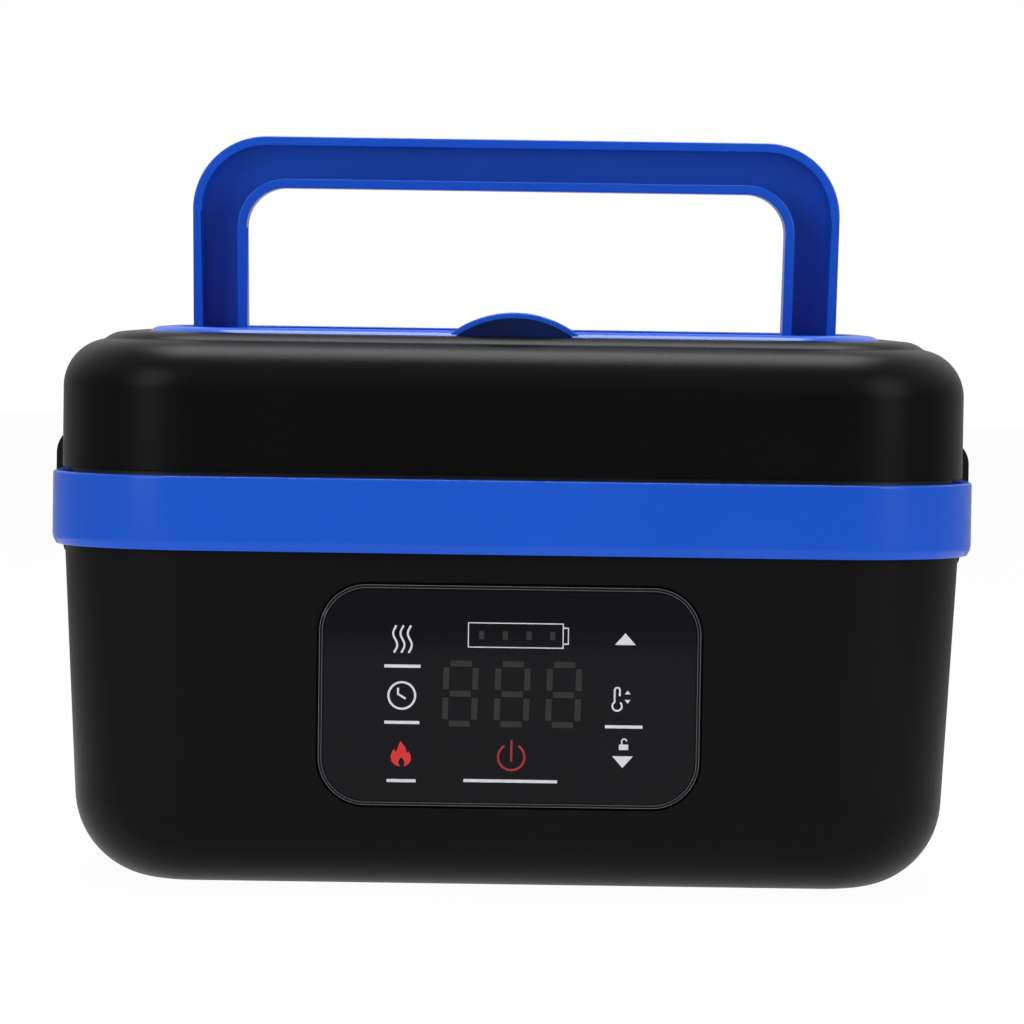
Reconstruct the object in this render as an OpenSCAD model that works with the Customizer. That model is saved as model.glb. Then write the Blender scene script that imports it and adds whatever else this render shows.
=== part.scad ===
/* [Band] */
// Width over the blue band
band_w = 270; // [256:1:290]
// Depth over the blue band
band_d = 190; // [182:1:204]
// Height of the blue band
band_h = 21.4; // [19:0.2:26]
// Corner radius of the band, seen from above
band_r = 44; // [40:1:50]
// Thickness of the band's outer wall
band_wall = 3.4; // [2.4:0.1:4]
// Thickness of the deck that closes the band inwards
deck_t = 2.8; // [2:0.1:3.6]
// Width of the ledge that carries the container's rim
ledge_w = 5.4; // [4:0.1:7]
// Depth of that ledge below the deck
ledge_drop = 3.6; // [2.6:0.1:5]

/* [Body] */
// Height of the body from its floor to the band
body_h = 98; // [95:0.5:112]
// How far the band stands out past the body
body_step = 3.7; // [2.5:0.1:5]
// Draft of the body's walls in degrees
body_draft = 3; // [1:0.25:4]
// Wall of the body
body_wall = 2.5; // [2:0.1:3.5]
// Radius where the body's walls turn into its floor
body_fillet = 26; // [20:1:30]
// Height of the feet under the floor
foot_h = 1.5; // [1:0.25:4]
// Diameter of a foot
foot_d = 10; // [8:0.5:11]

/* [Lid] */
// Height of the lid from its lower edge to its shoulder
lid_h = 37.6; // [35:0.2:45]
// How far the band stands out past the lid
lid_step = 2.8; // [2:0.1:4]
// Wall of the lid
lid_wall = 2.4; // [2:0.1:3]
// Radius of the lid's shoulder
lid_shoulder = 14; // [10:0.5:16]
// Height of the dark groove between lid and band
reveal_h = 1.2; // [0.8:0.1:3]
// Depth of that groove
reveal_d = 3; // [2:0.1:4]
// How far the rim round the handle tray stands above the shoulder
rim_rise = 2.2; // [1.5:0.1:3]
// Distance of that rim from the lid's side
rim_inset = 12; // [10:0.5:14]

/* [Handle tray] */
// Distance of the tray's flange from the end of the lid's rim
tray_side = 12.2; // [9:0.1:15]
// Distance of the tray's flange from the front of the lid's rim
tray_front = 7.2; // [5:0.1:9]
// Corner radius of the flange
tray_r = 36; // [30:1:40]
// How far the flange stands above the lid's rim
tray_proud = 1.5; // [0.8:0.1:2]
// Depth of the tray below its flange
tray_depth = 15.8; // [15.4:0.1:18]
// Wall of the tray
tray_wall = 2; // [1.6:0.1:2.6]
// Width of the flange round the tray
flange_w = 4.4; // [3.8:0.1:5]
// Width of the vent hood where it leaves the lid's rim
hood_w = 39; // [30:0.2:44]
// Height of the vent hood above the lid's rim
hood_h = 7; // [5.5:0.1:9]
// Depth of the vent hood from front to back
hood_d = 16.6; // [14:0.2:20]
// Wall of the vent hood
hood_wall = 1.6; // [1.2:0.1:2.2]
// Diameter of the steam duct under the hood
duct_d = 8; // [6:0.5:9]

/* [Handle] */
// Clear space between the handle's legs and the tray's sides
leg_gap = 5.9; // [5:0.1:9]
// Clear space between the folded grip and the tray's rear wall
reach_gap = 3; // [2:0.1:6]
// Height of the grip bar
bar_h = 15.5; // [13:0.5:18]
// Width of a leg
leg_w = 16.3; // [14:0.1:18]
// Thickness of the handle from front to back
handle_t = 14; // [11:0.5:14.6]
// Wall of the handle's channel
rib_t = 2.8; // [2:0.1:3.4]
// Thickness of the web at the back of the channel
web_t = 3.2; // [2.4:0.1:5]
// Outer corner radius of the handle
handle_r = 22.7; // [18:0.5:26]
// Lean of each leg in degrees
leg_flare = 1.1; // [0:0.1:1.2]
// Diameter of the pivot stubs
stub_d = 8; // [6:0.5:9]

/* [Latches] */
// Length of a latch along the box
latch_l = 46; // [38:1:60]
// How far a latch stands out past the band
latch_out = 1.6; // [1:0.1:3]
// Thickness of the latch's shell
latch_t = 2.2; // [1.8:0.1:2.4]
// Radius of the latch's rounded ends
latch_r = 8; // [7.5:0.1:8.5]
// Diameter of the latch's steel pin
pin_d = 2; // [1.5:0.1:2.2]

/* [Food container] */
// Distance of the container's wall from the band's outside
pot_side = 27; // [26:0.5:32]
// Corner radius of the container
pot_r = 28; // [22:1:34]
// Free room between the control board's parts and the insulation
board_room = 5.3; // [2:0.1:12]
// Thickness of the container's steel
pot_t = 0.8; // [0.6:0.1:1.2]
// Width of the container's rim
pot_rim = 8; // [7:0.1:8]
// Thickness of the heating well
well_t = 1.2; // [0.8:0.1:1.6]

/* [Control panel] */
// Width of the touch panel
panel_w = 110; // [100:0.2:120]
// Distance of the touch panel from the band
panel_drop = 8.9; // [6:0.1:12]
// How far the panel reaches down into the body's lower curve
panel_dip = 1.1; // [0:0.1:2]
// Corner radius of the touch panel
panel_r = 13.8; // [8:0.2:16]
// Groove round the panel
panel_groove = 0.6; // [0.4:0.1:1.5]
// Depth of the panel's seat
panel_seat = 2; // [1.4:0.1:2.4]
// How far the panel stands out of the body
panel_proud = 0.5; // [0:0.1:1]

/* [Power] */
// Number of battery cells
cells = 8; // [4:1:8]
// Diameter of a cell
cell_d = 18.4; // [18:0.1:18.6]
// Length of a cell
cell_l = 65; // [60:1:68]
// Distance from cell to cell
cell_pitch = 19.4; // [19:0.1:19.6]
// Diameter of the charging socket's barrel
socket_d = 11; // [9:0.5:12]
// Height of the charging socket above the ground
socket_z = 38; // [34:0.5:42]

/* [Hidden] */
$fn = 96;
eps = 0.01;

// Clearances
fit_gap = 0.3;
run_gap = 0.05;
side_gap = 0.6;

// Corner centres shared by the band, the body and the lid
corner_x = band_w / 2 - band_r;
corner_y = band_d / 2 - band_r;

// Heights
floor_z = foot_h;
band_z = floor_z + body_h;
band_top = band_z + band_h;
deck_z = band_top - deck_t;
ledge_z = band_top - ledge_drop;
lid_z = band_top + reveal_h;
lid_top = lid_z + lid_h;
rim_top = lid_top + rim_rise;
tray_top = rim_top + tray_proud;
tray_floor = tray_top - tray_depth;
pivot_z = tray_floor + handle_t / 2 + 0.7;

// Body outline
body_u = band_r - body_step;
function body_out(z) = body_u - (band_z - z) * tan(body_draft);

// Lid outline
lid_u = band_r - lid_step;
rim_u = lid_u - rim_inset;
rim_crown = 6.2;
flange_crown = 3.6;

// Handle tray in the lid
tray_w = 2 * (corner_x + rim_u - tray_side);
tray_d = 2 * (corner_y + rim_u - tray_front);
tray_in_x = tray_w / 2 - flange_w;
tray_in_y = tray_d / 2 - flange_w;
handle_reach = tray_in_y - reach_gap;

// Feet and base cover
foot_x = corner_x + 3;
foot_y = corner_y - 7;
cover_w = 2 * (foot_x - foot_d / 2 - 3);
cover_d = 2 * (corner_y + 1);
cover_r = 12;
cover_t = 1.6;
cover_step = 8;
cover_boss = 3.5;
base_t = 3;
screw_d = 2.9;
screw_head = 5.4;
screw_l = 9;
cover_turn = cover_r - (cover_r - cover_step / 2) * cos(45);
cover_spots = [
    for (x = [-1, 1], y = [-1, 1]) [x * (cover_w / 2 - cover_turn), y * (cover_d / 2 - cover_turn)],
    for (y = [-1, 1]) [0, y * (cover_d - cover_step) / 2]
];

// Battery and control board
cell_z = floor_z + base_t + 1.2 + cell_d / 2;
pack_w = cells * cell_pitch + 5;
pack_d = cell_l + 9;
cradle_top = cell_z - 1.5;
post_r = 1.9;
post_x = pack_w / 2 - 8;
post_y = pack_d / 2 - 2.1;
board_t = 1.6;
board_z = cell_z + cell_d / 2 + 2.4;
chip_h = 7;

// Heating and insulation under the well
felt_t = 4;
felt_z = board_z + board_t + chip_h + board_room;
mat_t = 1.2;
mat_z = felt_z + felt_t;
fuse_d = 3;
fuse_l = 11;
fuse_at = [24, 12];
sensor_at = [-24, 12];
lead_d = 2.2;
lead_xs = [52, 58];
lead_y = 20;

// Container and heating well
pot_w = band_w - 2 * pot_side;
pot_d = band_d - 2 * pot_side;
pot_x = pot_w / 2 - pot_r;
pot_y = pot_d / 2 - pot_r;
pot_draft = 1.5;
pot_fillet = 10;
well_gap = 1.5;
well_fillet = 8;
well_floor = mat_z + mat_t + well_t;
pot_floor = well_floor + fit_gap;
ledge_in = pot_r + well_gap + 1.7;
ledge_out = ledge_in + ledge_w;
mat_w = pot_w - 36;
mat_d = pot_d - 40;
mat_r = 10;

// Panel
panel_h = body_h - body_fillet - panel_drop + panel_dip;
panel_z = band_z - panel_drop - panel_h / 2;
mark_x = 0.287 * panel_w;
mark_y = 0.258 * panel_h;
mark_d = 9;
pad_t = 2.8;
pad_rim = 3;
window_in = 7;
display_gap = 2;
display_z = -(panel_seat + pad_t + display_gap);

// Charging socket
socket_l = 12;

// Latches, at the band's right side
latch_x = band_w / 2 + latch_out;
latch_cx = latch_x - latch_r;
latch_low = band_z + 2.6;
latch_high = band_top + 4.2;
latch_gap = 0.4;
pin_x = corner_x + body_u + 0.9;
pin_z = band_z - 2.5;
barrel_r = pin_d / 2 + 1;
ear_r = barrel_r;
ear_l = 4.6;
tongue_l = latch_l - 2 * (ear_l + 0.8);
lip_in = corner_x + lid_u + 0.5;

// Vent hood
hood_r = (pow(hood_w / 2, 2) + pow(hood_h, 2)) / (2 * hood_h);
hood_z = rim_top + hood_h - hood_r;
hood_front = -(tray_d / 2 - 0.4);
hood_back = hood_front + hood_d;
hood_floor = rim_top - 2.8;
plug_head = 6;
duct_y = hood_back - hood_wall - plug_head - 0.4;
plug_t = 1.6;

// Handle outlines
leg_out = tray_in_x - leg_gap;
bar_top = pivot_z + handle_reach;
hub_r = handle_t / 2;
hub_out = leg_out - handle_reach * tan(leg_flare) + 0.35;
boss_in = hub_out + side_gap;

// Plan outline with round corners: half distances between corner centres, then the radius
module plan(a, b, r) {
    square([2 * (a + r), 2 * b], center = true);
    square([2 * a, 2 * (b + r)], center = true);
    for (x = [-a, a], y = [-b, b]) translate([x, y]) circle(r);
}

module plate(a, b, r, z0, z1) {
    translate([0, 0, z0]) linear_extrude(z1 - z0) plan(a, b, r);
}

// Carries a profile of (distance outwards, height) round the corner centres
module round_sweep(a, b) {
    for (sx = [0, 1], sy = [0, 1])
        mirror([sx, 0, 0]) mirror([0, sy, 0])
            translate([a, b, 0]) rotate_extrude(angle = 90) children();
    for (s = [0, 1]) mirror([s, 0, 0]) translate([a, b, 0]) rotate([90, 0, 0]) linear_extrude(2 * b) children();
    for (s = [0, 1]) mirror([0, s, 0]) translate([-a, b, 0]) rotate([90, 0, 90]) linear_extrude(2 * a) children();
}

module swept_block(a, b, z0, z1) {
    round_sweep(a, b) children();
    translate([-a, -b, z0]) cube([2 * a, 2 * b, z1 - z0]);
}

// Profile of a tub: floor at z0, top at z1, half outline u at the top, floor radius r, draft a
module tub_profile(z0, z1, u, r, a) {
    zc = z0 + r;
    uc = u - (z1 - zc) * tan(a) - r / cos(a);
    intersection() {
        union() {
            polygon([
                [0, z0], [uc, z0], [uc + r * cos(a), zc - r * sin(a)], [u, z1], [0, z1]
            ]);
            translate([uc, zc]) circle(r);
        }
        translate([0, z0]) square([u + r, z1 - z0]);
    }
}

module tub(cx, cy, z0, z1, u, r, a) {
    swept_block(cx, cy, z0, z1) tub_profile(z0, z1, u, r, a);
}

// The same with a straight neck from z1 up to z2
module necked_tub(cx, cy, z0, z1, z2, u, r, a) {
    swept_block(cx, cy, z0, z2) {
        tub_profile(z0, z1, u, r, a);
        translate([0, z1]) square([u, z2 - z1]);
    }
}

// Block whose upper edge is rounded
module round_top(cx, cy, z0, z1, u, r) {
    swept_block(cx, cy, z0, z1) {
        translate([0, z0]) square([u, z1 - z0 - r]);
        translate([0, z0]) square([u - r, z1 - z0]);
        translate([u - r, z1 - r]) circle(r);
    }
}

// Block whose upper edge is a shallow crown: it rises by rise over the last run of its width
module crowned(cx, cy, z0, z1, u, run, rise) {
    r = (run * run + rise * rise) / (2 * rise);
    swept_block(cx, cy, z0, z1) {
        translate([0, z0]) square([u - run, z1 - z0]);
        intersection() {
            translate([u - run - eps, z0]) square([run + eps, z1 - z0]);
            union() {
                translate([u - run, z1 - r]) circle(r);
                translate([0, z0]) square([u, z1 - rise - z0]);
            }
        }
    }
}

module at_panel() {
    translate([0, -(corner_y + body_out(panel_z)), panel_z]) rotate([90 + body_draft, 0, 0]) children();
}

module at_socket() {
    translate([0, corner_y + body_out(socket_z), socket_z]) rotate([-90 - body_draft, 0, 0]) children();
}

module both_sides() {
    for (s = [0, 1]) mirror([s, 0, 0]) children();
}

module panel_plan(grow) {
    plan(panel_w / 2 - panel_r, panel_h / 2 - panel_r, panel_r + grow);
}

module window_plan(shrink) {
    plan(panel_w / 2 - panel_r, panel_h / 2 - panel_r, panel_r - shrink);
}

// Outline of the handle: half width at the top, corner radius, top height, low end.
// The straight sides are tucked a hair into the corner circles, so that they cross cleanly.
module bow(half, r, top, low) {
    tuck = 0.004;
    cz = top - r;
    cx = half - r;
    tx = cx + (r - tuck) * cos(leg_flare);
    tz = cz - (r - tuck) * sin(leg_flare);
    bx = tx - (tz - low) * tan(leg_flare);
    polygon([[-bx, low], [bx, low], [tx, tz], [cx, cz], [cx, top], [-cx, top], [-cx, cz], [-tx, tz]]);
    for (s = [-1, 1]) translate([s * cx, cz]) circle(r);
}

// Body

module latch_ears() {
    both_sides()
        for (y = [-1, 1])
            translate([pin_x, y * (latch_l - ear_l) / 2, pin_z]) {
                rotate([90, 0, 0]) cylinder(r = ear_r, h = ear_l, center = true);
                translate([-(pin_x - corner_x - body_out(pin_z)) - body_wall / 2, -ear_l / 2, -ear_r])
                    cube([pin_x - corner_x - body_out(pin_z) + body_wall / 2, ear_l, 2 * ear_r]);
            }
}

module body_shell() {
    color([0.095, 0.095, 0.102])
        difference() {
            union() {
                difference() {
                    necked_tub(corner_x, corner_y, floor_z, band_z, deck_z, body_u, body_fillet, body_draft);
                    necked_tub(
                        corner_x, corner_y, floor_z + base_t, band_z, deck_z + 1,
                        body_u - body_wall / cos(body_draft), body_fillet - base_t, body_draft
                    );
                }
                at_panel() translate([0, 0, -panel_seat - pad_t])
                    linear_extrude(pad_t + 0.3) panel_plan(panel_groove + pad_rim);
                at_panel()
                    for (x = [-1, 1], y = [-1, 1])
                        translate([x * (panel_w / 2 - 5), y * (panel_h / 2 - 4.6), display_z])
                            cylinder(d = 4.4, h = display_gap + eps);
                for (p = cover_spots)
                    translate([p[0], p[1], floor_z + cover_t]) cylinder(r = cover_boss, h = screw_l + 1);
                latch_ears();
            }
            at_panel() translate([0, 0, -panel_seat]) linear_extrude(10) panel_plan(panel_groove);
            at_panel() translate([0, 0, -10]) linear_extrude(10) window_plan(window_in);
            plate(cover_w / 2 - cover_r, cover_d / 2 - cover_r, cover_r + fit_gap, 0, floor_z + cover_t);
            plate(
                cover_w / 2 - cover_r, cover_d / 2 - cover_r, cover_r - cover_step, 0, floor_z + base_t + eps
            );
            for (p = cover_spots)
                translate([p[0], p[1], 0]) cylinder(d = screw_d + 2 * run_gap, h = floor_z + screw_l);
            foot_spots() translate([0, 0, floor_z]) cylinder(d = foot_d + 2 * run_gap, h = 1);
            at_socket() translate([0, 0, -20]) cylinder(d = socket_d + fit_gap, h = 30);
            both_sides()
                translate([pin_x, 0, pin_z]) rotate([90, 0, 0])
                    cylinder(d = pin_d + 2 * run_gap, h = latch_l + 2, center = true);
            both_sides()
                translate([pin_x, 0, pin_z]) rotate([90, 0, 0])
                    cylinder(r = barrel_r + 0.35, h = tongue_l + 0.8, center = true);
        }
}

module foot_spots() {
    for (x = [-1, 1], y = [-1, 1]) translate([x * foot_x, y * foot_y, 0]) children();
}

module base_cover() {
    color([0.12, 0.12, 0.13])
        difference() {
            union() {
                plate(cover_w / 2 - cover_r, cover_d / 2 - cover_r, cover_r, floor_z, floor_z + cover_t);
                plate(
                    cover_w / 2 - cover_r, cover_d / 2 - cover_r, cover_r - cover_step - fit_gap, floor_z,
                    floor_z + base_t
                );
            }
            for (p = cover_spots) translate([p[0], p[1], floor_z]) {
                cylinder(d = screw_d + 0.4, h = cover_t + 1);
                cylinder(d = screw_head + 0.5, h = 0.8);
            }
            for (i = [-5:5]) translate([i * 9, 0, 0]) for (y = [-14, 14])
                translate([0, y, 0]) linear_extrude(floor_z + base_t + 1) plan(0.6, 6, 0.6);
        }
}

module cover_screws() {
    color([0.75, 0.75, 0.77])
        for (p = cover_spots) translate([p[0], p[1], floor_z + 0.1]) {
            difference() {
                cylinder(d = screw_head, h = 0.7);
                cube([3.4, 0.8, 0.8], center = true);
                cube([0.8, 3.4, 0.8], center = true);
            }
            cylinder(d = screw_d, h = screw_l - 0.6);
        }
}

module feet() {
    color([0.07, 0.07, 0.07])
        foot_spots()
            rotate_extrude() {
                square([foot_d / 2 - 0.6, 0.6]);
                translate([0, 0.6]) square([foot_d / 2, foot_h + 0.4]);
                translate([foot_d / 2 - 0.6, 0.6]) circle(0.6);
            }
}

// Band

module trim_band() {
    chamfer_w = 1.1;
    chamfer_h = 3;
    edge = 0.8;
    color([0.11, 0.31, 0.74])
        difference() {
            swept_block(corner_x, corner_y, band_z, band_top) {
                polygon([
                    [0, band_z], [band_r - chamfer_w, band_z], [band_r, band_z + chamfer_h],
                    [band_r, band_top - edge], [band_r - edge, band_top], [0, band_top]
                ]);
                translate([band_r - edge, band_top - edge]) circle(edge);
            }
            difference() {
                plate(corner_x, corner_y, band_r - band_wall, band_z - 1, deck_z);
                plate(pot_x, pot_y, ledge_out + 1.6, ledge_z - deck_t, deck_z + 1);
            }
            plate(pot_x, pot_y, ledge_out, ledge_z, band_top + 1);
            plate(pot_x, pot_y, ledge_in, band_z, band_top + 1);
            plate(pot_x, pot_y, ledge_out + 1.6 + eps, band_z - 1, ledge_z - deck_t + eps);
            both_sides()
                translate([latch_x - latch_t - latch_gap, -latch_l / 2 - side_gap, band_z - 1])
                    cube([10, latch_l + 2 * side_gap, band_h + 2]);
        }
}

// Heating well and what lies under it

module heating_well() {
    well_top = ledge_z - deck_t;
    in_u = pot_r + well_gap - (ledge_z - well_top) * tan(pot_draft);
    color([0.78, 0.79, 0.8])
        difference() {
            union() {
                tub(pot_x, pot_y, well_floor - well_t, well_top, in_u + well_t / cos(pot_draft),
                    well_fillet + well_t, pot_draft);
                plate(pot_x, pot_y, ledge_out + 1.4, well_top - well_t, well_top);
            }
            tub(pot_x, pot_y, well_floor, well_top + eps, in_u, well_fillet, pot_draft);
        }
}

module heater_mat() {
    hole_in = 14;
    hole_d = 8;
    color([0.72, 0.36, 0.12])
        difference() {
            plate(mat_w / 2 - mat_r, mat_d / 2 - mat_r, mat_r, mat_z, mat_z + mat_t);
            for (x = [-1, 1], y = [-1, 1])
                translate([x * (mat_w / 2 - hole_in), y * (mat_d / 2 - hole_in), mat_z - 1])
                    cylinder(d = hole_d, h = mat_t + 2);
        }
}

module fuse_pocket(p, l) {
    translate([p[0] - l / 2 - 1, p[1] - fuse_d / 2 - 0.6, felt_z - 1]) cube([l + 2, fuse_d + 1.2, felt_t + 2]);
}

module insulation() {
    color([0.85, 0.84, 0.8])
        difference() {
            plate(mat_w / 2 - mat_r, mat_d / 2 - mat_r, mat_r + 2, felt_z, felt_z + felt_t);
            fuse_pocket(fuse_at, fuse_l);
            fuse_pocket(sensor_at, fuse_l - 3);
            for (x = lead_xs) translate([x, lead_y, felt_z - 1]) cylinder(d = lead_d + 1, h = felt_t + 2);
        }
}

module thermal_fuse() {
    color([0.8, 0.78, 0.7])
        translate([fuse_at[0], fuse_at[1], mat_z - fuse_d / 2 - 0.1]) {
            rotate([0, 90, 0]) cylinder(d = fuse_d, h = fuse_l, center = true);
            for (s = [-1, 1]) translate([s * (fuse_l / 2 + 0.3), 0, 0]) rotate([0, 90, 0])
                cylinder(d = 0.8, h = 0.8, center = true);
        }
}

module temperature_sensor() {
    color([0.15, 0.15, 0.15])
        translate([sensor_at[0], sensor_at[1], mat_z - fuse_d / 2 - 0.1]) {
            rotate([0, 90, 0]) cylinder(d = fuse_d, h = fuse_l - 6, center = true);
            translate([fuse_l / 2 - 3, 0, 0]) sphere(d = fuse_d);
        }
}

module heater_leads() {
    color([0.75, 0.08, 0.06])
        for (x = lead_xs) translate([x, lead_y, board_z + board_t])
            cylinder(d = lead_d, h = mat_z - board_z - board_t);
}

// Battery and electronics

function cell_x(i) = (i - (cells - 1) / 2) * cell_pitch;

module battery_cells() {
    color([0.16, 0.42, 0.6])
        for (i = [0:cells - 1])
            translate([cell_x(i), (i % 2 == 0 ? 1 : -1) * cell_l / 2, cell_z])
                rotate([i % 2 == 0 ? 90 : -90, 0, 0]) {
                    translate([0, 0, 1]) cylinder(d = cell_d, h = cell_l - 1);
                    cylinder(d = 6, h = 1.2);
                }
}

module cell_straps() {
    strap_t = 0.3;
    strap_lap = 2;
    strap_z = cradle_top + 0.2;
    strap_h = 2 * (cell_z - strap_z) + 3;
    color([0.8, 0.8, 0.78])
        for (i = [0:cells - 2]) {
            side = i % 2 == 0 ? 1 : -1;
            translate([cell_x(i) - strap_lap, side * (cell_l + strap_t) / 2 - strap_t / 2, strap_z])
                cube([cell_pitch + 2 * strap_lap, strap_t, strap_h]);
        }
}

module battery_holder() {
    color([0.1, 0.1, 0.1])
        difference() {
            union() {
                translate([-pack_w / 2, -pack_d / 2, floor_z + base_t])
                    cube([pack_w, pack_d, cradle_top - floor_z - base_t]);
                for (x = [-1, 1], y = [-1, 1])
                    translate([x * post_x, y * post_y, cradle_top - 1])
                        cylinder(r = post_r, h = board_z - cradle_top + 1);
            }
            for (i = [0:cells - 1])
                translate([cell_x(i), 0, cell_z]) rotate([90, 0, 0])
                    cylinder(d = cell_d + fit_gap, h = cell_l + 2, center = true);
        }
}

module control_board() {
    edge = 4;
    hole_d = 2.2;
    can_d = 10;
    coil = 14;
    chip = 12;
    chip_t = 1.4;
    relay = [16, 5, 6];
    plug = [12, 6, 5];
    ribbon_plug = [18, 5, 3];
    color([0.05, 0.3, 0.14])
        translate([0, 0, board_z]) {
            difference() {
                translate([-post_x - edge, -pack_d / 2, 0]) cube([2 * (post_x + edge), pack_d, board_t]);
                for (x = [-1, 1], y = [-1, 1])
                    translate([x * post_x, y * post_y, -1]) cylinder(d = hole_d, h = board_t + 2);
            }
            translate([0, 0, board_t - eps]) {
                for (i = [0, 1]) translate([-can_d * (3.4 + 1.4 * i), can_d / 2, 0]) cylinder(d = can_d, h = chip_h);
                translate([-coil, -coil / 2, 0]) cube([coil, coil, chip_h]);
                translate([chip, -2 * chip, 0]) cube([chip, chip, chip_t]);
                translate([-4 * relay[0], -4 * relay[1], 0]) cube(relay);
                translate([-ribbon_plug[0] / 2, -pack_d / 2 + 1, 0]) cube(ribbon_plug);
                translate([-plug[0] / 2, pack_d / 2 - plug[1] - 1, 0]) cube(plug);
            }
        }
}

module display_board() {
    inset = 2;
    digits = [46, 20];
    gauge = [28, 7];
    ribbon_plug = [18, 5, 3];
    deep = -display_z - panel_seat;
    color([0.04, 0.18, 0.1])
        at_panel() translate([0, 0, display_z]) {
            translate([inset - panel_w / 2, inset - panel_h / 2, -board_t])
                cube([panel_w - 2 * inset, panel_h - 2 * inset, board_t]);
            translate([-digits[0] / 2, -digits[1] / 2, -eps]) cube([digits[0], digits[1], deep]);
            translate([-gauge[0] / 2, mark_y - 2, -eps]) cube([gauge[0], gauge[1], deep]);
            for (x = [-1, 1], y = [-1, 0, 1])
                translate([x * mark_x, y * mark_y, -eps]) cylinder(d = mark_d, h = deep);
            translate([0, -mark_y - 2, -eps]) cylinder(d = mark_d, h = deep);
            translate([-ribbon_plug[0] / 2, -panel_h / 2 + inset + 1, -board_t - ribbon_plug[2]])
                cube([ribbon_plug[0], ribbon_plug[1], ribbon_plug[2] + eps]);
        }
}

module display_cable() {
    ribbon_w = 14;
    ribbon_t = 0.5;
    y0 = -(corner_y + body_out(panel_z - panel_h / 2)) - display_z + board_t + 3.4;
    y1 = -pack_d / 2 + 0.6;
    z0 = board_z + board_t + 1;
    color([0.8, 0.8, 0.78])
        translate([-ribbon_w / 2, 0, 0]) {
            translate([0, y0, z0]) cube([ribbon_w, y1 - y0, ribbon_t]);
            translate([0, y0, z0]) cube([ribbon_w, ribbon_t, panel_z - panel_h / 2 + 8 - z0]);
        }
}

module touch_panel() {
    bevel = 0.8;
    color([0.12, 0.115, 0.14])
        at_panel()
            swept_block(panel_w / 2 - panel_r, panel_h / 2 - panel_r, -panel_seat, panel_proud)
                polygon([
                    [0, -panel_seat], [panel_r, -panel_seat], [panel_r, panel_proud - bevel],
                    [panel_r - bevel, panel_proud], [0, panel_proud]
                ]);
}

module charging_socket() {
    color([0.08, 0.08, 0.08])
        at_socket() {
            difference() {
                union() {
                    cylinder(d = socket_d + 4, h = 1.2);
                    translate([0, 0, -socket_l]) cylinder(d = socket_d, h = socket_l + eps);
                }
                translate([0, 0, -9]) cylinder(d = 5.6, h = 12);
            }
            translate([0, 0, -10]) cylinder(d = 2, h = 9.5);
        }
}

module socket_nut() {
    color([0.7, 0.7, 0.72])
        at_socket() translate([0, 0, -body_wall - 3.2])
            difference() {
                cylinder(r = socket_d / 2 + 2.4, h = 3, $fn = 6);
                translate([0, 0, -1]) cylinder(d = socket_d + 2 * run_gap, h = 6);
            }
}

module charge_leads() {
    y0 = pack_d / 2 - 1;
    y1 = corner_y + body_out(socket_z) - socket_l - 0.6;
    color([0.75, 0.08, 0.06])
        for (x = [-2.4, 2.4]) translate([x, y0, board_z + board_t + 3]) rotate([-90, 0, 0])
            cylinder(d = 1.8, h = y1 - y0);
}

module latch_pins() {
    color([0.7, 0.7, 0.72])
        both_sides()
            translate([pin_x, 0, pin_z]) rotate([90, 0, 0]) cylinder(d = pin_d, h = latch_l - 0.6, center = true);
}

// Container

module food_container() {
    color([0.8, 0.81, 0.82])
        difference() {
            union() {
                tub(pot_x, pot_y, pot_floor, ledge_z + 1, pot_r, pot_fillet, pot_draft);
                round_top(pot_x, pot_y, ledge_z, ledge_z + 1, pot_r + pot_rim, 0.45);
            }
            tub(pot_x, pot_y, pot_floor + pot_t, ledge_z + 1 + eps, pot_r - pot_t, pot_fillet - pot_t, pot_draft);
        }
}

// Lid

module lid_bosses() {
    for (p = lid_spots())
        translate([p[0], p[1], lid_z + 2.5]) cylinder(r = 3.4, h = lid_top - lid_wall - lid_z - 2.5 + 0.2);
}

function lid_spots() = [
    for (x = [-1, 1], y = [-1, 1]) [x * (corner_x + rim_u - 7), y * 32],
    for (y = [-1, 1]) [0, y * (tray_d / 2 + 4.4)]
];

module lid_shell() {
    color([0.07, 0.07, 0.078])
        difference() {
            union() {
                difference() {
                    union() {
                        translate([0, 0, lid_top + lid_z]) mirror([0, 0, 1])
                            tub(corner_x, corner_y, lid_z, lid_top, lid_u, lid_shoulder, 0);
                        crowned(corner_x, corner_y, lid_top - lid_wall, rim_top, rim_u, rim_crown, rim_rise + 0.1);
                    }
                    translate([0, 0, lid_top - lid_wall + lid_z - 1]) mirror([0, 0, 1])
                        tub(corner_x, corner_y, lid_z, lid_top - lid_wall + 0, lid_u - lid_wall,
                            lid_shoulder - lid_wall, 0);
                }
                lid_bosses();
                plate(tray_w / 2 - tray_r, tray_d / 2 - tray_r, tray_r + 1.4, lid_top - lid_wall - 2, rim_top - 3);
            }
            plate(tray_w / 2 - tray_r, tray_d / 2 - tray_r, tray_r + fit_gap, rim_top - 1.8, rim_top + 1);
            plate(
                tray_w / 2 - tray_r, tray_d / 2 - tray_r, tray_r - flange_w + tray_wall + fit_gap, lid_z, rim_top
            );
            for (p = lid_spots())
                translate([p[0], p[1], lid_z]) cylinder(d = screw_d + 2 * run_gap, h = screw_l + 2);
            both_sides()
                translate([corner_x + lid_u - 1.2, -tongue_l / 2, latch_high + 4])
                    cube([3, tongue_l, 4.6]);
        }
}

module hood_block(r, y0, y1, z0) {
    intersection() {
        translate([0, y1, hood_z]) rotate([90, 0, 0]) cylinder(r = r, h = y1 - y0);
        translate([-r, y0, z0]) cube([2 * r, y1 - y0, 2 * r]);
    }
}

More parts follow.
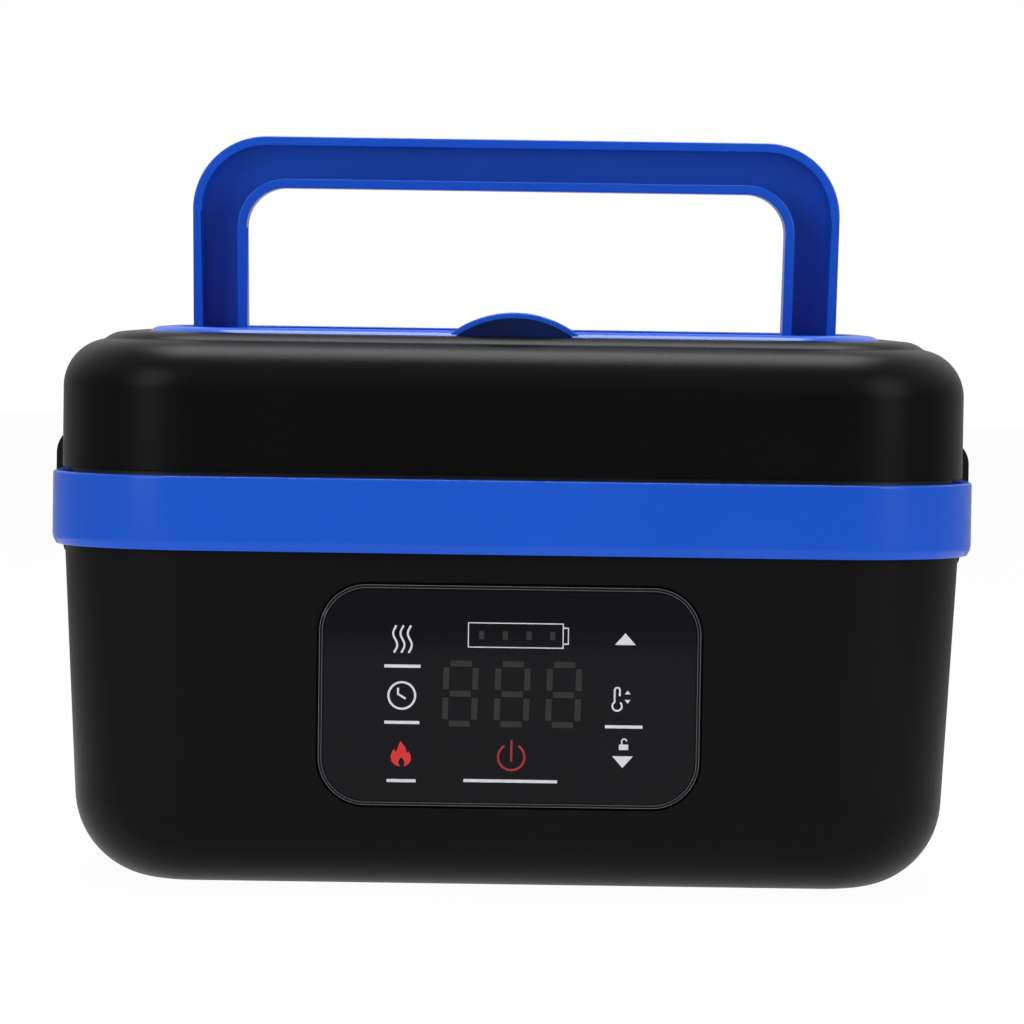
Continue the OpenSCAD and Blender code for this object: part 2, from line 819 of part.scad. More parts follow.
module lid_insert() {
    wall_y = -(tray_in_y + tray_wall);
    seat_z = rim_top - 1.8;
    tx = tray_w / 2 - tray_r;
    ty = tray_d / 2 - tray_r;
    color([0.11, 0.31, 0.74])
        difference() {
            union() {
                difference() {
                    union() {
                        crowned(tx, ty, seat_z, tray_top, tray_r, flange_crown, tray_proud);
                        plate(tx, ty, tray_r - flange_w + tray_wall, tray_floor - tray_wall, seat_z + 1);
                    }
                    plate(tx, ty, tray_r - flange_w, tray_floor, tray_top + 1);
                }
                hood_block(hood_r, wall_y + 1, hood_back, tray_floor - 0.5);
                hood_block(hood_r, hood_front, wall_y + 1 + eps, seat_z);
                both_sides() intersection() {
                    translate([boss_in, 0, pivot_z]) rotate([0, 90, 0])
                        linear_extrude(tray_in_x - boss_in + 1) {
                            circle(hub_r + 0.4);
                            translate([0, -hub_r - 0.4]) square([pivot_z - tray_floor + 0.5, 2 * hub_r + 0.8]);
                        }
                    translate([0, -20, tray_floor - 1]) cube([tray_w / 2, 40, tray_depth + 0.6]);
                }
            }
            hood_block(hood_r - hood_wall, hood_front - 1, hood_back - hood_wall, hood_floor);
            difference() {
                hood_block(hood_r - 2, wall_y + tray_wall + 2, hood_back - 2, tray_floor - tray_wall - 1);
                translate([-hood_r, hood_front, hood_floor - 2]) cube([2 * hood_r, hood_d, hood_r]);
                translate([0, duct_y, tray_floor - 5]) cylinder(d = duct_d + 3, h = tray_depth + 5);
            }
            translate([0, duct_y, tray_floor - 5]) cylinder(d = duct_d, h = tray_depth + 5);
            both_sides()
                translate([boss_in - 1, 0, pivot_z]) rotate([0, 90, 0])
                    cylinder(d = stub_d + 2 * run_gap, h = stub_l() + 2);
        }
}

function stub_l() = tray_in_x - hub_out - 0.6;

module lid_liner() {
    plate_t = 2.5;
    in_u = band_r - lid_step - reveal_d;
    color([0.1, 0.1, 0.11])
        difference() {
            union() {
                plate(corner_x, corner_y, lid_u - lid_wall - fit_gap, lid_z, lid_z + plate_t);
                difference() {
                    plate(corner_x, corner_y, in_u, band_top, lid_z + eps);
                    plate(corner_x, corner_y, in_u - 2.4, band_top - 1, lid_z);
                }
                difference() {
                    plate(pot_x, pot_y, ledge_out + 1.4, band_top + 0.3, lid_z + eps);
                    plate(pot_x, pot_y, ledge_out - fit_gap, band_top - 1, lid_z);
                }
                difference() {
                    plate(pot_x, pot_y, pot_r + 0.5, band_top + 0.3, lid_z + eps);
                    plate(pot_x, pot_y, pot_r - 1, band_top - 1, lid_z);
                }
                translate([0, duct_y, lid_z]) cylinder(d = duct_d + 4, h = tray_floor - tray_wall - lid_z);
            }
            translate([0, duct_y, lid_z - 5]) cylinder(d = duct_d, h = tray_floor);
            for (p = lid_spots()) translate([p[0], p[1], lid_z - 1]) {
                cylinder(d = screw_d + 0.4, h = plate_t + 2);
                cylinder(d = screw_head + 0.5, h = 2);
            }
        }
}

module lid_seal() {
    seal_in = pot_r + 0.5 + fit_gap;
    seal_out = ledge_out - 2 * fit_gap;
    color([0.85, 0.86, 0.87])
        difference() {
            union() {
                plate(pot_x, pot_y, seal_out, band_top - 0.6, lid_z);
                plate(pot_x, pot_y, seal_out - 1.4, ledge_z + 1 + fit_gap, lid_z);
            }
            plate(pot_x, pot_y, seal_in, ledge_z, lid_z + 1);
        }
}

module lid_screws() {
    color([0.75, 0.75, 0.77])
        for (p = lid_spots()) translate([p[0], p[1], lid_z + 0.2]) {
            difference() {
                cylinder(d = screw_head, h = 0.8);
                cube([3.4, 0.8, 0.8], center = true);
                cube([0.8, 3.4, 0.8], center = true);
            }
            cylinder(d = screw_d, h = screw_l);
        }
}

module vent_plug() {
    color([0.8, 0.8, 0.8])
        translate([0, duct_y, 0]) {
            translate([0, 0, hood_floor]) cylinder(r = plug_head, h = plug_t);
            translate([0, 0, hood_floor - 9]) cylinder(d = duct_d - 2 * fit_gap, h = 9 + eps);
        }
}

// Handle

// Outline of the handle from the side, round under its pivot
module handle_side() {
    translate([-handle_t / 2, pivot_z]) square([handle_t, handle_reach + 1]);
    translate([0, pivot_z]) circle(hub_r);
}

module carry_handle() {
    grip_in = leg_out - leg_w;
    in_r = 12;
    low = pivot_z - hub_r - 1;
    color([0.11, 0.31, 0.74]) {
        difference() {
            intersection() {
                translate([0, handle_t, 0]) rotate([90, 0, 0])
                    linear_extrude(2 * handle_t)
                        difference() {
                            bow(leg_out, handle_r, bar_top, low);
                            bow(grip_in, in_r, bar_top - bar_h, low - 1);
                        }
                translate([-leg_out - 1, 0, 0]) rotate([90, 0, 90]) linear_extrude(2 * leg_out + 2) handle_side();
            }
            translate([0, handle_t / 2 - web_t, 0]) rotate([90, 0, 0])
                linear_extrude(handle_t)
                    difference() {
                        bow(leg_out - rib_t, handle_r - rib_t, bar_top - rib_t, pivot_z + hub_r - 1.5);
                        bow(grip_in + rib_t, in_r + rib_t, bar_top - bar_h + rib_t, pivot_z);
                    }
        }
        both_sides()
            translate([0, 0, pivot_z]) rotate([0, 90, 0]) {
                translate([0, 0, hub_out - 3]) cylinder(r = hub_r - 1.2, h = 3);
                translate([0, 0, hub_out - 1]) cylinder(d = stub_d, h = stub_l() + 1);
            }
    }
}

// Latches

module latch_profile() {
    difference() {
        intersection() {
            union() {
                translate([0, latch_low]) square([latch_x, latch_high - latch_low]);
                translate([latch_cx, latch_low]) circle(latch_r);
                translate([latch_cx, latch_high]) circle(latch_r);
            }
            union() {
                translate([pin_x, 0]) square([20, latch_high]);
                translate([lip_in, latch_high - 1]) square([20, lid_h]);
            }
        }
        translate([0, band_z - latch_gap])
            square([latch_x - latch_t, latch_high - band_z + latch_gap]);
        translate([latch_cx, latch_high]) circle(latch_r - latch_t);
    }
}

module latch() {
    grip_r = 0.8;
    difference() {
        union() {
            rotate([90, 0, 0]) translate([0, 0, -latch_l / 2]) linear_extrude(latch_l) latch_profile();
            translate([pin_x, 0, pin_z]) rotate([90, 0, 0])
                cylinder(r = barrel_r, h = tongue_l, center = true);
        }
        for (s = [-1, 1])
            translate([pin_x, s * latch_l / 2, pin_z])
                cube([30, latch_l - tongue_l, 2 * (ear_r + 0.6)], center = true);
        translate([pin_x, 0, pin_z]) rotate([90, 0, 0])
            cylinder(d = pin_d + 2 * run_gap, h = latch_l + 2, center = true);
        for (i = [0:2])
            translate([latch_x + grip_r / 2, 0, band_top - 1.5 - i * 3]) rotate([90, 0, 0])
                cylinder(r = grip_r, h = latch_l - 12, center = true);
    }
}

module latch_left() {
    color([0.03, 0.03, 0.035]) mirror([1, 0, 0]) latch();
}

module latch_right() {
    color([0.03, 0.03, 0.035]) latch();
}

body_shell();
base_cover();
cover_screws();
feet();
trim_band();
heating_well();
heater_mat();
insulation();
thermal_fuse();
temperature_sensor();
heater_leads();
battery_cells();
cell_straps();
battery_holder();
control_board();
display_board();
display_cable();
touch_panel();
charging_socket();
socket_nut();
charge_leads();
latch_pins();
food_container();
lid_shell();
lid_insert();
lid_liner();
lid_seal();
lid_screws();
vent_plug();
carry_handle();
latch_left();
latch_right();
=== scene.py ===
import math

import bmesh
import bpy
from mathutils import Matrix, Vector


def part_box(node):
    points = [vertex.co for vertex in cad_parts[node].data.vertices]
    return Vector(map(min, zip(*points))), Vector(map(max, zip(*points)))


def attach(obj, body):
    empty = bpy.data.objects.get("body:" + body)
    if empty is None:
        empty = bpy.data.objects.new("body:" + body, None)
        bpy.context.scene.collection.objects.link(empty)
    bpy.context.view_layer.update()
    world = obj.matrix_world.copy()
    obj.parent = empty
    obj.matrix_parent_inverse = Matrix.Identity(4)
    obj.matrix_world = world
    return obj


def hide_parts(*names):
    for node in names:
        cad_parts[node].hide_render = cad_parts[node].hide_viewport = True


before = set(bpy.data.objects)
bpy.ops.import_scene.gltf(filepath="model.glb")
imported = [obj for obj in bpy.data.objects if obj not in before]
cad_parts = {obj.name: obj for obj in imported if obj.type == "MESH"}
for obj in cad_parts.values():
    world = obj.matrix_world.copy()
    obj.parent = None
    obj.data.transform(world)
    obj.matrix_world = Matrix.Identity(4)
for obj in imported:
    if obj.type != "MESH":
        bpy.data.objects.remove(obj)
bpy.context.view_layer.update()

# Camera: a long lens about as high as the lid, straight in front of the box,
# level to within a few degrees and turned a touch about its own axis.
lens_mm = 184.6
sensor_mm = 36
farthest_seen = 20
camera_height = 0.1722
camera_back = 1.595
camera_tilt = math.radians(-2.3)
camera_roll = math.radians(0.83)
camera_data = bpy.data.cameras.new("camera")
camera_data.lens = lens_mm
camera_data.sensor_width = sensor_mm
camera_data.clip_end = farthest_seen
camera = bpy.data.objects.new("camera", camera_data)
bpy.context.scene.collection.objects.link(camera)
camera.matrix_world = (
    Matrix.Translation((0, -camera_back, camera_height))
    @ Matrix.Rotation(math.pi / 2 + camera_tilt, 4, "X")
    @ Matrix.Rotation(camera_roll, 4, "Z")
)
bpy.context.scene.camera = camera
bpy.context.scene.view_settings.view_transform = "Standard"


# Studio: a pale floor and surround with three soft lamps, at a level where
# colours render about as they are written. The floor keeps the box's shadow.
def new_material(name):
    """A material with its own shader, and the tree to build on."""
    material = bpy.data.materials.new(name)
    material.use_nodes = True
    return material, material.node_tree, material.node_tree.nodes["Principled BSDF"]


def math_node(tree, operation, *values):
    """A sum on two values, each a number or a socket."""
    node = tree.nodes.new("ShaderNodeMath")
    node.operation = operation
    for socket, value in zip(node.inputs, values):
        if isinstance(value, (int, float)):
            socket.default_value = value
        else:
            tree.links.new(value, socket)
    return node.outputs[0]


def faded(tree, distance, near, far, bright, dim):
    """Goes smoothly from one strength to another between two distances."""
    ramp = tree.nodes.new("ShaderNodeMapRange")
    ramp.interpolation_type = "SMOOTHSTEP"
    for socket, value in zip(ramp.inputs[1:5], (near, far, bright, dim)):
        socket.default_value = value
    tree.links.new(distance, ramp.inputs[0])
    return ramp.outputs[0]


def seen_by_eye(tree, mirrored):
    """Whether a ray comes from the camera, a mirror or glass, and how bright it finds the studio."""
    path = tree.nodes.new("ShaderNodeLightPath")
    through = math_node(tree, "MAXIMUM", path.outputs["Is Glossy Ray"], path.outputs["Is Transmission Ray"])
    seen = math_node(tree, "MAXIMUM", path.outputs["Is Camera Ray"], through)
    bright = math_node(tree, "MULTIPLY", through, mirrored)
    return seen, math_node(tree, "MAXIMUM", path.outputs["Is Camera Ray"], bright)


def studio_floor():
    """A wide plane, white to the eye and bright in mirrors round the box, that takes its shadow."""
    floor_size = 12
    paint = 0.9
    whiteness = 0.97
    pool_edge, pool_end = 0.5, 0.54
    far_brightness = 0.4
    bpy.ops.object.select_all(action="DESELECT")
    bpy.ops.mesh.primitive_plane_add(size=floor_size)
    floor = bpy.context.active_object
    floor.name = "floor"
    material, tree, shader = new_material("floor_white")
    shader.inputs["Base Color"].default_value = (paint, paint, paint, 1)
    shader.inputs["Roughness"].default_value = 0.9
    place = tree.nodes.new("ShaderNodeTexCoord")
    reach = tree.nodes.new("ShaderNodeVectorMath")
    reach.operation = "LENGTH"
    tree.links.new(place.outputs["Object"], reach.inputs[0])
    mirrored = faded(tree, reach.outputs["Value"], pool_edge, pool_end, whiteness, far_brightness)
    seen, bright = seen_by_eye(tree, mirrored)
    glow = tree.nodes.new("ShaderNodeEmission")
    tree.links.new(bright, glow.inputs["Strength"])
    mix = tree.nodes.new("ShaderNodeMixShader")
    tree.links.new(math_node(tree, "MULTIPLY", seen, whiteness), mix.inputs[0])
    tree.links.new(shader.outputs[0], mix.inputs[1])
    tree.links.new(glow.outputs[0], mix.inputs[2])
    tree.links.new(mix.outputs[0], tree.nodes["Material Output"].inputs["Surface"])
    floor.data.materials.append(material)


def studio_world():
    """A surround that is white to the eye, brighter overhead in mirrors, and gives a little light."""
    horizon_brightness, overhead_brightness = 0.4, 1
    overhead_from = 0.6
    fill_light = 0.25
    world = bpy.data.worlds.new("studio")
    bpy.context.scene.world = world
    world.use_nodes = True
    tree = world.node_tree
    background = tree.nodes["Background"]
    background.inputs["Color"].default_value = (1, 1, 1, 1)
    sky = tree.nodes.new("ShaderNodeTexCoord")
    height = tree.nodes.new("ShaderNodeSeparateXYZ")
    tree.links.new(sky.outputs["Generated"], height.inputs[0])
    mirrored = faded(tree, height.outputs["Z"], 0, overhead_from, horizon_brightness, overhead_brightness)
    _, bright = seen_by_eye(tree, mirrored)
    tree.links.new(math_node(tree, "MAXIMUM", bright, fill_light), background.inputs["Strength"])


box_middle = Vector((0, 0, 0.12))


def softbox(name, place, size, watts):
    """A rectangular lamp that looks at the middle of the box."""
    lamp = bpy.data.lights.new(name, "AREA")
    lamp.shape = "RECTANGLE"
    lamp.size, lamp.size_y = size
    lamp.energy = watts
    holder = bpy.data.objects.new(name, lamp)
    bpy.context.scene.collection.objects.link(holder)
    aim = box_middle - Vector(place)
    holder.matrix_world = Matrix.Translation(place) @ aim.to_track_quat("-Z", "Y").to_matrix().to_4x4()


top_size, top_watts = (1, 0.8), 26
side_size, side_watts = (0.7, 1.2), 11
studio_floor()
studio_world()
softbox("top_light", (0, 0.16, 1.42), top_size, top_watts)
softbox("left_light", (-1.14, -1.22, 0.7), side_size, side_watts)
softbox("right_light", (1.34, -1, 0.7), side_size, side_watts)


# Body shell: one drafted tub moulded in satin black, with a large radius to its floor,
# a seat for the touch panel, a recess for the base cover and ears for the latch pins.
def finish(name, tones, cloud, roughness, grain, relief, metallic=0.0, stretch=(1, 1, 1), **sockets):
    """A finish on object coordinates: two tones and two roughnesses over a soft cloud
    of so many spots a metre, and a fine grain of that many spots with its height in metres."""
    material, tree, shader = new_material(name)
    shader.inputs["Metallic"].default_value = metallic
    for socket, value in sockets.items():
        shader.inputs[socket.replace("_", " ")].default_value = value
    place = tree.nodes.new("ShaderNodeTexCoord")
    spread = tree.nodes.new("ShaderNodeMapping")
    spread.inputs["Scale"].default_value = stretch
    tree.links.new(place.outputs["Object"], spread.inputs["Vector"])
    clouds = tree.nodes.new("ShaderNodeTexNoise")
    clouds.inputs["Scale"].default_value = cloud
    clouds.inputs["Detail"].default_value = 4
    tree.links.new(spread.outputs[0], clouds.inputs["Vector"])
    tone = tree.nodes.new("ShaderNodeValToRGB")
    tone.color_ramp.elements[0].position = 0.35
    tone.color_ramp.elements[1].position = 0.65
    for stop, colour in zip(tone.color_ramp.elements, tones):
        stop.color = (*colour, 1)
    tree.links.new(clouds.outputs["Fac"], tone.inputs["Fac"])
    tree.links.new(tone.outputs["Color"], shader.inputs["Base Color"])
    rough = tree.nodes.new("ShaderNodeMapRange")
    rough.inputs["From Min"].default_value = 0.3
    rough.inputs["From Max"].default_value = 0.7
    rough.inputs["To Min"].default_value, rough.inputs["To Max"].default_value = roughness
    tree.links.new(clouds.outputs["Fac"], rough.inputs["Value"])
    tree.links.new(rough.outputs[0], shader.inputs["Roughness"])
    grains = tree.nodes.new("ShaderNodeTexNoise")
    grains.inputs["Scale"].default_value = grain
    grains.inputs["Detail"].default_value = 2
    tree.links.new(spread.outputs[0], grains.inputs["Vector"])
    bump = tree.nodes.new("ShaderNodeBump")
    bump.inputs["Distance"].default_value = relief
    tree.links.new(grains.outputs["Fac"], bump.inputs["Height"])
    tree.links.new(bump.outputs["Normal"], shader.inputs["Normal"])
    return material


def pick_up(piece):
    """Makes a piece the only one selected."""
    bpy.ops.object.select_all(action="DESELECT")
    piece.select_set(True)
    bpy.context.view_layer.objects.active = piece


def choose(piece, kind, test):
    """Enters edit mode and selects the faces, edges or vertices that pass a test."""
    pick_up(piece)
    bpy.ops.object.mode_set(mode="EDIT")
    bpy.ops.mesh.select_mode(type=kind)
    bpy.ops.mesh.select_all(action="DESELECT")
    mesh = bmesh.from_edit_mesh(piece.data)
    for part in {"FACE": mesh.faces, "EDGE": mesh.edges, "VERT": mesh.verts}[kind]:
        if test(part):
            part.select_set(True)
    mesh.select_flush_mode()
    bmesh.update_edit_mesh(piece.data)


def put_down():
    """Leaves edit mode."""
    bpy.ops.object.mode_set(mode="OBJECT")


def settle(piece):
    """Writes a piece's place, turn and scale into its mesh."""
    pick_up(piece)
    bpy.ops.object.transform_apply(location=True, rotation=True, scale=True)


def apply_step(piece, step):
    """Makes a modifier's result the piece's own mesh."""
    pick_up(piece)
    bpy.ops.object.modifier_apply(modifier=step.name)


def block(name, low, high):
    """A box between two corners."""
    bpy.ops.object.select_all(action="DESELECT")
    middle = (Vector(low) + Vector(high)) / 2
    bpy.ops.mesh.primitive_cube_add(size=1, location=middle)
    piece = bpy.context.active_object
    piece.name = name
    piece.scale = Vector(high) - Vector(low)
    settle(piece)
    return piece


def rod(name, axis, centre, radius, length, sides=64):
    """A round bar along an axis."""
    bpy.ops.object.select_all(action="DESELECT")
    turn = {"X": (0, math.pi / 2, 0), "Y": (math.pi / 2, 0, 0), "Z": (0, 0, 0)}[axis]
    bpy.ops.mesh.primitive_cylinder_add(
        vertices=sides, radius=radius, depth=length, location=centre, rotation=turn
    )
    piece = bpy.context.active_object
    piece.name = name
    settle(piece)
    return piece


def along(edge, axis):
    """Whether an edge runs along an axis (0, 1 or 2)."""
    way = edge.verts[1].co - edge.verts[0].co
    return way.length > 0 and abs(way[axis]) > 0.99 * way.length


def round_chosen(width, segments):
    """Rounds the chosen edges and leaves edit mode."""
    bpy.ops.mesh.bevel(offset=width, segments=segments, profile=0.5, affect="EDGES")
    put_down()


def upright_block(name, half_x, half_y, corner, low, high, segments=24):
    """A box from low to high whose four upright edges are rounded."""
    piece = block(name, (-half_x, -half_y, low), (half_x, half_y, high))
    choose(piece, "EDGE", lambda e: along(e, 2))
    round_chosen(corner, segments)
    return piece


def ring_block(name, centre_x, centre_y, reach, low, high, segments=24):
    """An upright block that reaches so far past the four corner centres."""
    return upright_block(name, centre_x + reach, centre_y + reach, reach, low, high, segments)


def end_block(name, side, inner, outer, low, high):
    """A box at the right (1) or left (-1) end, between two distances from the middle and two (y, z)."""
    near, far = sorted((side * inner, side * outer))
    return block(name, (near, *low), (far, *high))


def bend(centre_u, centre_z, radius, start, end, steps=8):
    """Points of (outwards, height) along an arc between two angles in degrees."""
    angles = [math.radians(start + (end - start) * i / steps) for i in range(steps + 1)]
    return [(centre_u + radius * math.cos(a), centre_z + radius * math.sin(a)) for a in angles]


# Corners and heights nearer than this are taken as one.
touching = 1e-6


def flat_face(height, facing):
    """A test for the flat face at a height that looks up (1) or down (-1)."""
    return lambda f: abs(f.calc_center_median().z - height) < touching and f.normal.z * facing > 0.9


def carry(piece, height, facing, points):
    """Takes the flat face at a height and draws it inwards along a profile of (outwards, height)."""
    choose(piece, "FACE", flat_face(height, facing))
    for (u0, z0), (u1, z1) in zip(points, points[1:]):
        if u0 - u1 < touching / 10:
            bpy.ops.mesh.extrude_region_move(TRANSFORM_OT_translate={"value": (0, 0, z1 - z0)})
        else:
            bpy.ops.mesh.inset(thickness=u0 - u1, depth=(z1 - z0) * facing, use_even_offset=True)
    put_down()


def combine(piece, tool, way):
    """Changes a piece by a tool, which is used up."""
    step = piece.modifiers.new("combine", "BOOLEAN")
    step.operation = way
    step.solver = "EXACT"
    step.object = tool
    apply_step(piece, step)
    bpy.data.objects.remove(tool)


def cut(piece, tool):
    """Cuts a tool's shape out of a piece."""
    combine(piece, tool, "DIFFERENCE")


def join(piece, tool):
    """Makes a piece and a tool one solid."""
    combine(piece, tool, "UNION")


def open_at(piece, height, facing):
    """Takes away the flat face at a height."""
    choose(piece, "FACE", flat_face(height, facing))
    bpy.ops.mesh.delete(type="ONLY_FACE")
    put_down()


def wall(piece, height, facing, thickness):
    """Opens a solid at its flat face and gives it a wall inwards."""
    open_at(piece, height, facing)
    step = piece.modifiers.new("wall", "SOLIDIFY")
    step.thickness = thickness
    step.offset = -1
    step.use_even_offset = True
    apply_step(piece, step)


def merge(piece, distance):
    """Joins the corners of a mesh that lie closer together than a distance."""
    choose(piece, "VERT", lambda v: True)
    bpy.ops.mesh.remove_doubles(threshold=distance)
    put_down()


def flatten_shading(piece):
    """Keeps faces that look straight along an axis flat where small rounded ones meet them."""
    straight = 0.99999
    mesh = piece.data
    normals = [corner.vector.copy() for corner in mesh.corner_normals]
    for face in mesh.polygons:
        if max(abs(way) for way in face.normal) > straight:
            for corner in face.loop_indices:
                normals[corner] = face.normal.copy()
    mesh.normals_split_custom_set(normals)


def fit(piece, body, slot_name, material, *nodes):
    """Smooths a finished piece, gives it its finish and puts it on its body."""
    smooth_up_to = math.radians(32)
    merge(piece, touching)
    bpy.ops.object.shade_smooth_by_angle(angle=smooth_up_to)
    step = piece.modifiers.new("normals", "WEIGHTED_NORMAL")
    step.keep_sharp = True
    apply_step(piece, step)
    flatten_shading(piece)
    piece.data.materials.clear()
    piece.data.materials.append(material)
    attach(piece, body)
    if nodes:
        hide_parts(*nodes)


band_low, band_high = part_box("trim_band")
body_low, body_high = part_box("body_shell")
panel_low, panel_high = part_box("touch_panel")
pin_low, pin_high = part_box("latch_pins")
latch_low, latch_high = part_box("latch_right")
_, cover_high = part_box("base_cover")
_, foot_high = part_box("feet")
socket_low, socket_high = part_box("charging_socket")
band_corner = 0.044
corner_x = band_high.x - band_corner
corner_y = band_high.y - band_corner
body_reach = body_high.y - corner_y
body_draft = math.radians(3)
body_fillet = 0.026
body_wall = 0.0025
# How far a cutting tool stands past the surface that it cuts.
past = 0.001
panel_corner = 0.0138
panel_seat = 0.002
panel_proud = 0.0005
panel_gap = 0.0006
panel_thickness = panel_seat + panel_proud
panel_half_x = panel_high.x
panel_upright = panel_high.z - panel_low.z - panel_thickness * math.sin(body_draft)
panel_half_y = panel_upright / 2 / math.cos(body_draft)
panel_z = (panel_high.z + panel_low.z) / 2
panel_out = body_reach - (band_low.z - panel_z) * math.tan(body_draft)
panel_turn = Matrix.Rotation(math.pi / 2 + body_draft, 4, "X")
panel_place = Matrix.Translation((0, -corner_y - panel_out, panel_z)) @ panel_turn
cover_gap = 0.0003
cover_corner = 0.012
cover_seat = 0.0016
cover_ledge = 0.008
floor_opening_corner = 0.004
floor_opening_top = 0.01
inlet_radius = 0.00565
inlet_reach = 0.015
foot_radius = 0.005
foot_seat = 0.001
snug = 0.00005
pin_radius = (pin_high.z - pin_low.z) / 2
pin_x = pin_high.x - pin_radius
pin_z = (pin_high.z + pin_low.z) / 2
ear_wall = 0.001
ear_radius = pin_radius + ear_wall
ear_length = 0.0046
ear_root = 0.0022
ear_gap = 0.00035
pocket_slack = 0.0004
sliver = 1e-5
latch_length = latch_high.y - latch_low.y


def place_on_panel(piece):
    """Moves a piece from flat working coordinates onto the panel's seat in the drafted wall."""
    piece.matrix_world = panel_place
    settle(piece)


def both_ends(make):
    """Does the same at the right and at the left end of the box."""
    for side in (1, -1):
        make(side)


def body_profile():
    """The drafted wall and the round turn under it, from the band down to the floor."""
    drop = band_low.z - body_low.z - body_fillet
    centre = body_reach - drop * math.tan(body_draft) - body_fillet / math.cos(body_draft)
    return [(body_reach, band_low.z)] + bend(
        centre, body_low.z + body_fillet, body_fillet, -math.degrees(body_draft), -90, 26
    )


body_black = finish(
    "body_black", ((0.003, 0.003, 0.0035), (0.0036, 0.0036, 0.0042)), 9, (0.34, 0.42), 2600, 0.00006,
    Specular_IOR_Level=0.07,
)
shell = ring_block("body_shell_moulding", corner_x, corner_y, body_reach, band_low.z, body_high.z)
carry(shell, band_low.z, -1, body_profile())
wall(shell, body_high.z, 1, body_wall)
seat = upright_block(
    "seat", panel_half_x + panel_gap, panel_half_y + panel_gap, panel_corner + panel_gap,
    -panel_seat, 10 * past,
)
place_on_panel(seat)
cut(shell, seat)
recess = upright_block(
    "recess", cover_high.x + cover_gap, cover_high.y + cover_gap, cover_corner + cover_gap,
    -past, body_low.z + cover_seat,
)
cut(shell, recess)
floor_opening = upright_block(
    "floor_opening", cover_high.x - cover_ledge, cover_high.y - cover_ledge, floor_opening_corner,
    -past, body_low.z + floor_opening_top,
)
cut(shell, floor_opening)
socket_z = (socket_low.z + socket_high.z) / 2
inlet = rod("inlet", "Y", (0, corner_y + body_reach, socket_z), inlet_radius, 2 * inlet_reach)
cut(shell, inlet)
for x in (-1, 1):
    for y in (-1, 1):
        foot_at = (x * (foot_high.x - foot_radius), y * (foot_high.y - foot_radius), body_low.z)
        foot_hole = rod("foot_hole", "Z", foot_at, foot_radius + snug, 2 * foot_seat)
        cut(shell, foot_hole)


def latch_ears(side):
    """The pocket that a latch's barrel turns in, and the two ears at its ends that hold the pin."""
    pocket_length = latch_length - 2 * (ear_length + pocket_slack)
    pocket = rod("pocket", "Y", (side * pin_x, 0, pin_z), ear_radius + ear_gap, pocket_length)
    cut(shell, pocket)
    half_width, half_height = ear_length / 2 - sliver, ear_radius - sliver
    for y in (-1, 1):
        middle = y * (latch_length - ear_length) / 2
        ear = rod("ear", "Y", (side * pin_x, middle, pin_z), ear_radius, ear_length, 48)
        root = end_block(
            "root", side, pin_x - ear_root, pin_x,
            (middle - half_width, pin_z - half_height), (middle + half_width, pin_z + half_height),
        )
        join(ear, root)
        join(shell, ear)
    hole = rod("hole", "Y", (side * pin_x, 0, pin_z), pin_radius + snug, latch_length + 2 * past, 48)
    cut(shell, hole)


both_ends(latch_ears)
fit(shell, "base", "body_black", body_black, "body_shell")


# Power pack: eight cells in printed sleeves lie in a black cradle on the base cover,
# joined in series by spot-welded nickel straps, with the control board on posts above them.
def dress(material, *nodes):
    """Gives nodes that keep their own mesh a finish."""
    for node in nodes:
        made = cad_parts[node]
        made.data.materials.clear()
        made.data.materials.append(material)


def striped(material, scale, axis, share, colour):
    """Lays thin stripes of a second colour over a finish, so many a metre along an axis."""
    tree = material.node_tree
    shader = tree.nodes["Principled BSDF"]
    place = tree.nodes.new("ShaderNodeTexCoord")
    split = tree.nodes.new("ShaderNodeSeparateXYZ")
    tree.links.new(place.outputs["Object"], split.inputs[0])
    count = math_node(tree, "MULTIPLY", split.outputs[axis], scale)
    line = math_node(tree, "LESS_THAN", math_node(tree, "FRACT", count), share)
    mix = tree.nodes.new("ShaderNodeMix")
    mix.data_type = "RGBA"
    mix.inputs["B"].default_value = (*colour, 1)
    under = shader.inputs["Base Color"].links[0].from_socket
    tree.links.new(under, mix.inputs["A"])
    tree.links.new(line, mix.inputs["Factor"])
    tree.links.new(mix.outputs["Result"], shader.inputs["Base Color"])
    return material


inner_black = finish(
    "inner_black", ((0.008, 0.008, 0.0085), (0.011, 0.011, 0.0115)), 30, (0.5, 0.62), 1800, 0.00005
)
cell_sleeve = striped(
    finish("cell_sleeve", ((0.02, 0.13, 0.3), (0.024, 0.16, 0.34)), 60, (0.28, 0.36), 400, 0.00001),
    26, "Y", 0.08, (0.75, 0.75, 0.75),
)
nickel = finish(
    "nickel", ((0.5, 0.49, 0.45), (0.6, 0.59, 0.55)), 180, (0.3, 0.42), 1500, 0.00001, metallic=1.0
)
board_green = striped(striped(
    finish("board_green", ((0.006, 0.07, 0.02), (0.009, 0.1, 0.03)), 140, (0.3, 0.4), 700, 0.00001),
    420, "X", 0.22, (0.012, 0.13, 0.045),
), 150, "Y", 0.1, (0.35, 0.3, 0.16))
dress(inner_black, "battery_holder")
dress(cell_sleeve, "battery_cells")
dress(nickel, "cell_straps")
dress(board_green, "control_board", "display_board")


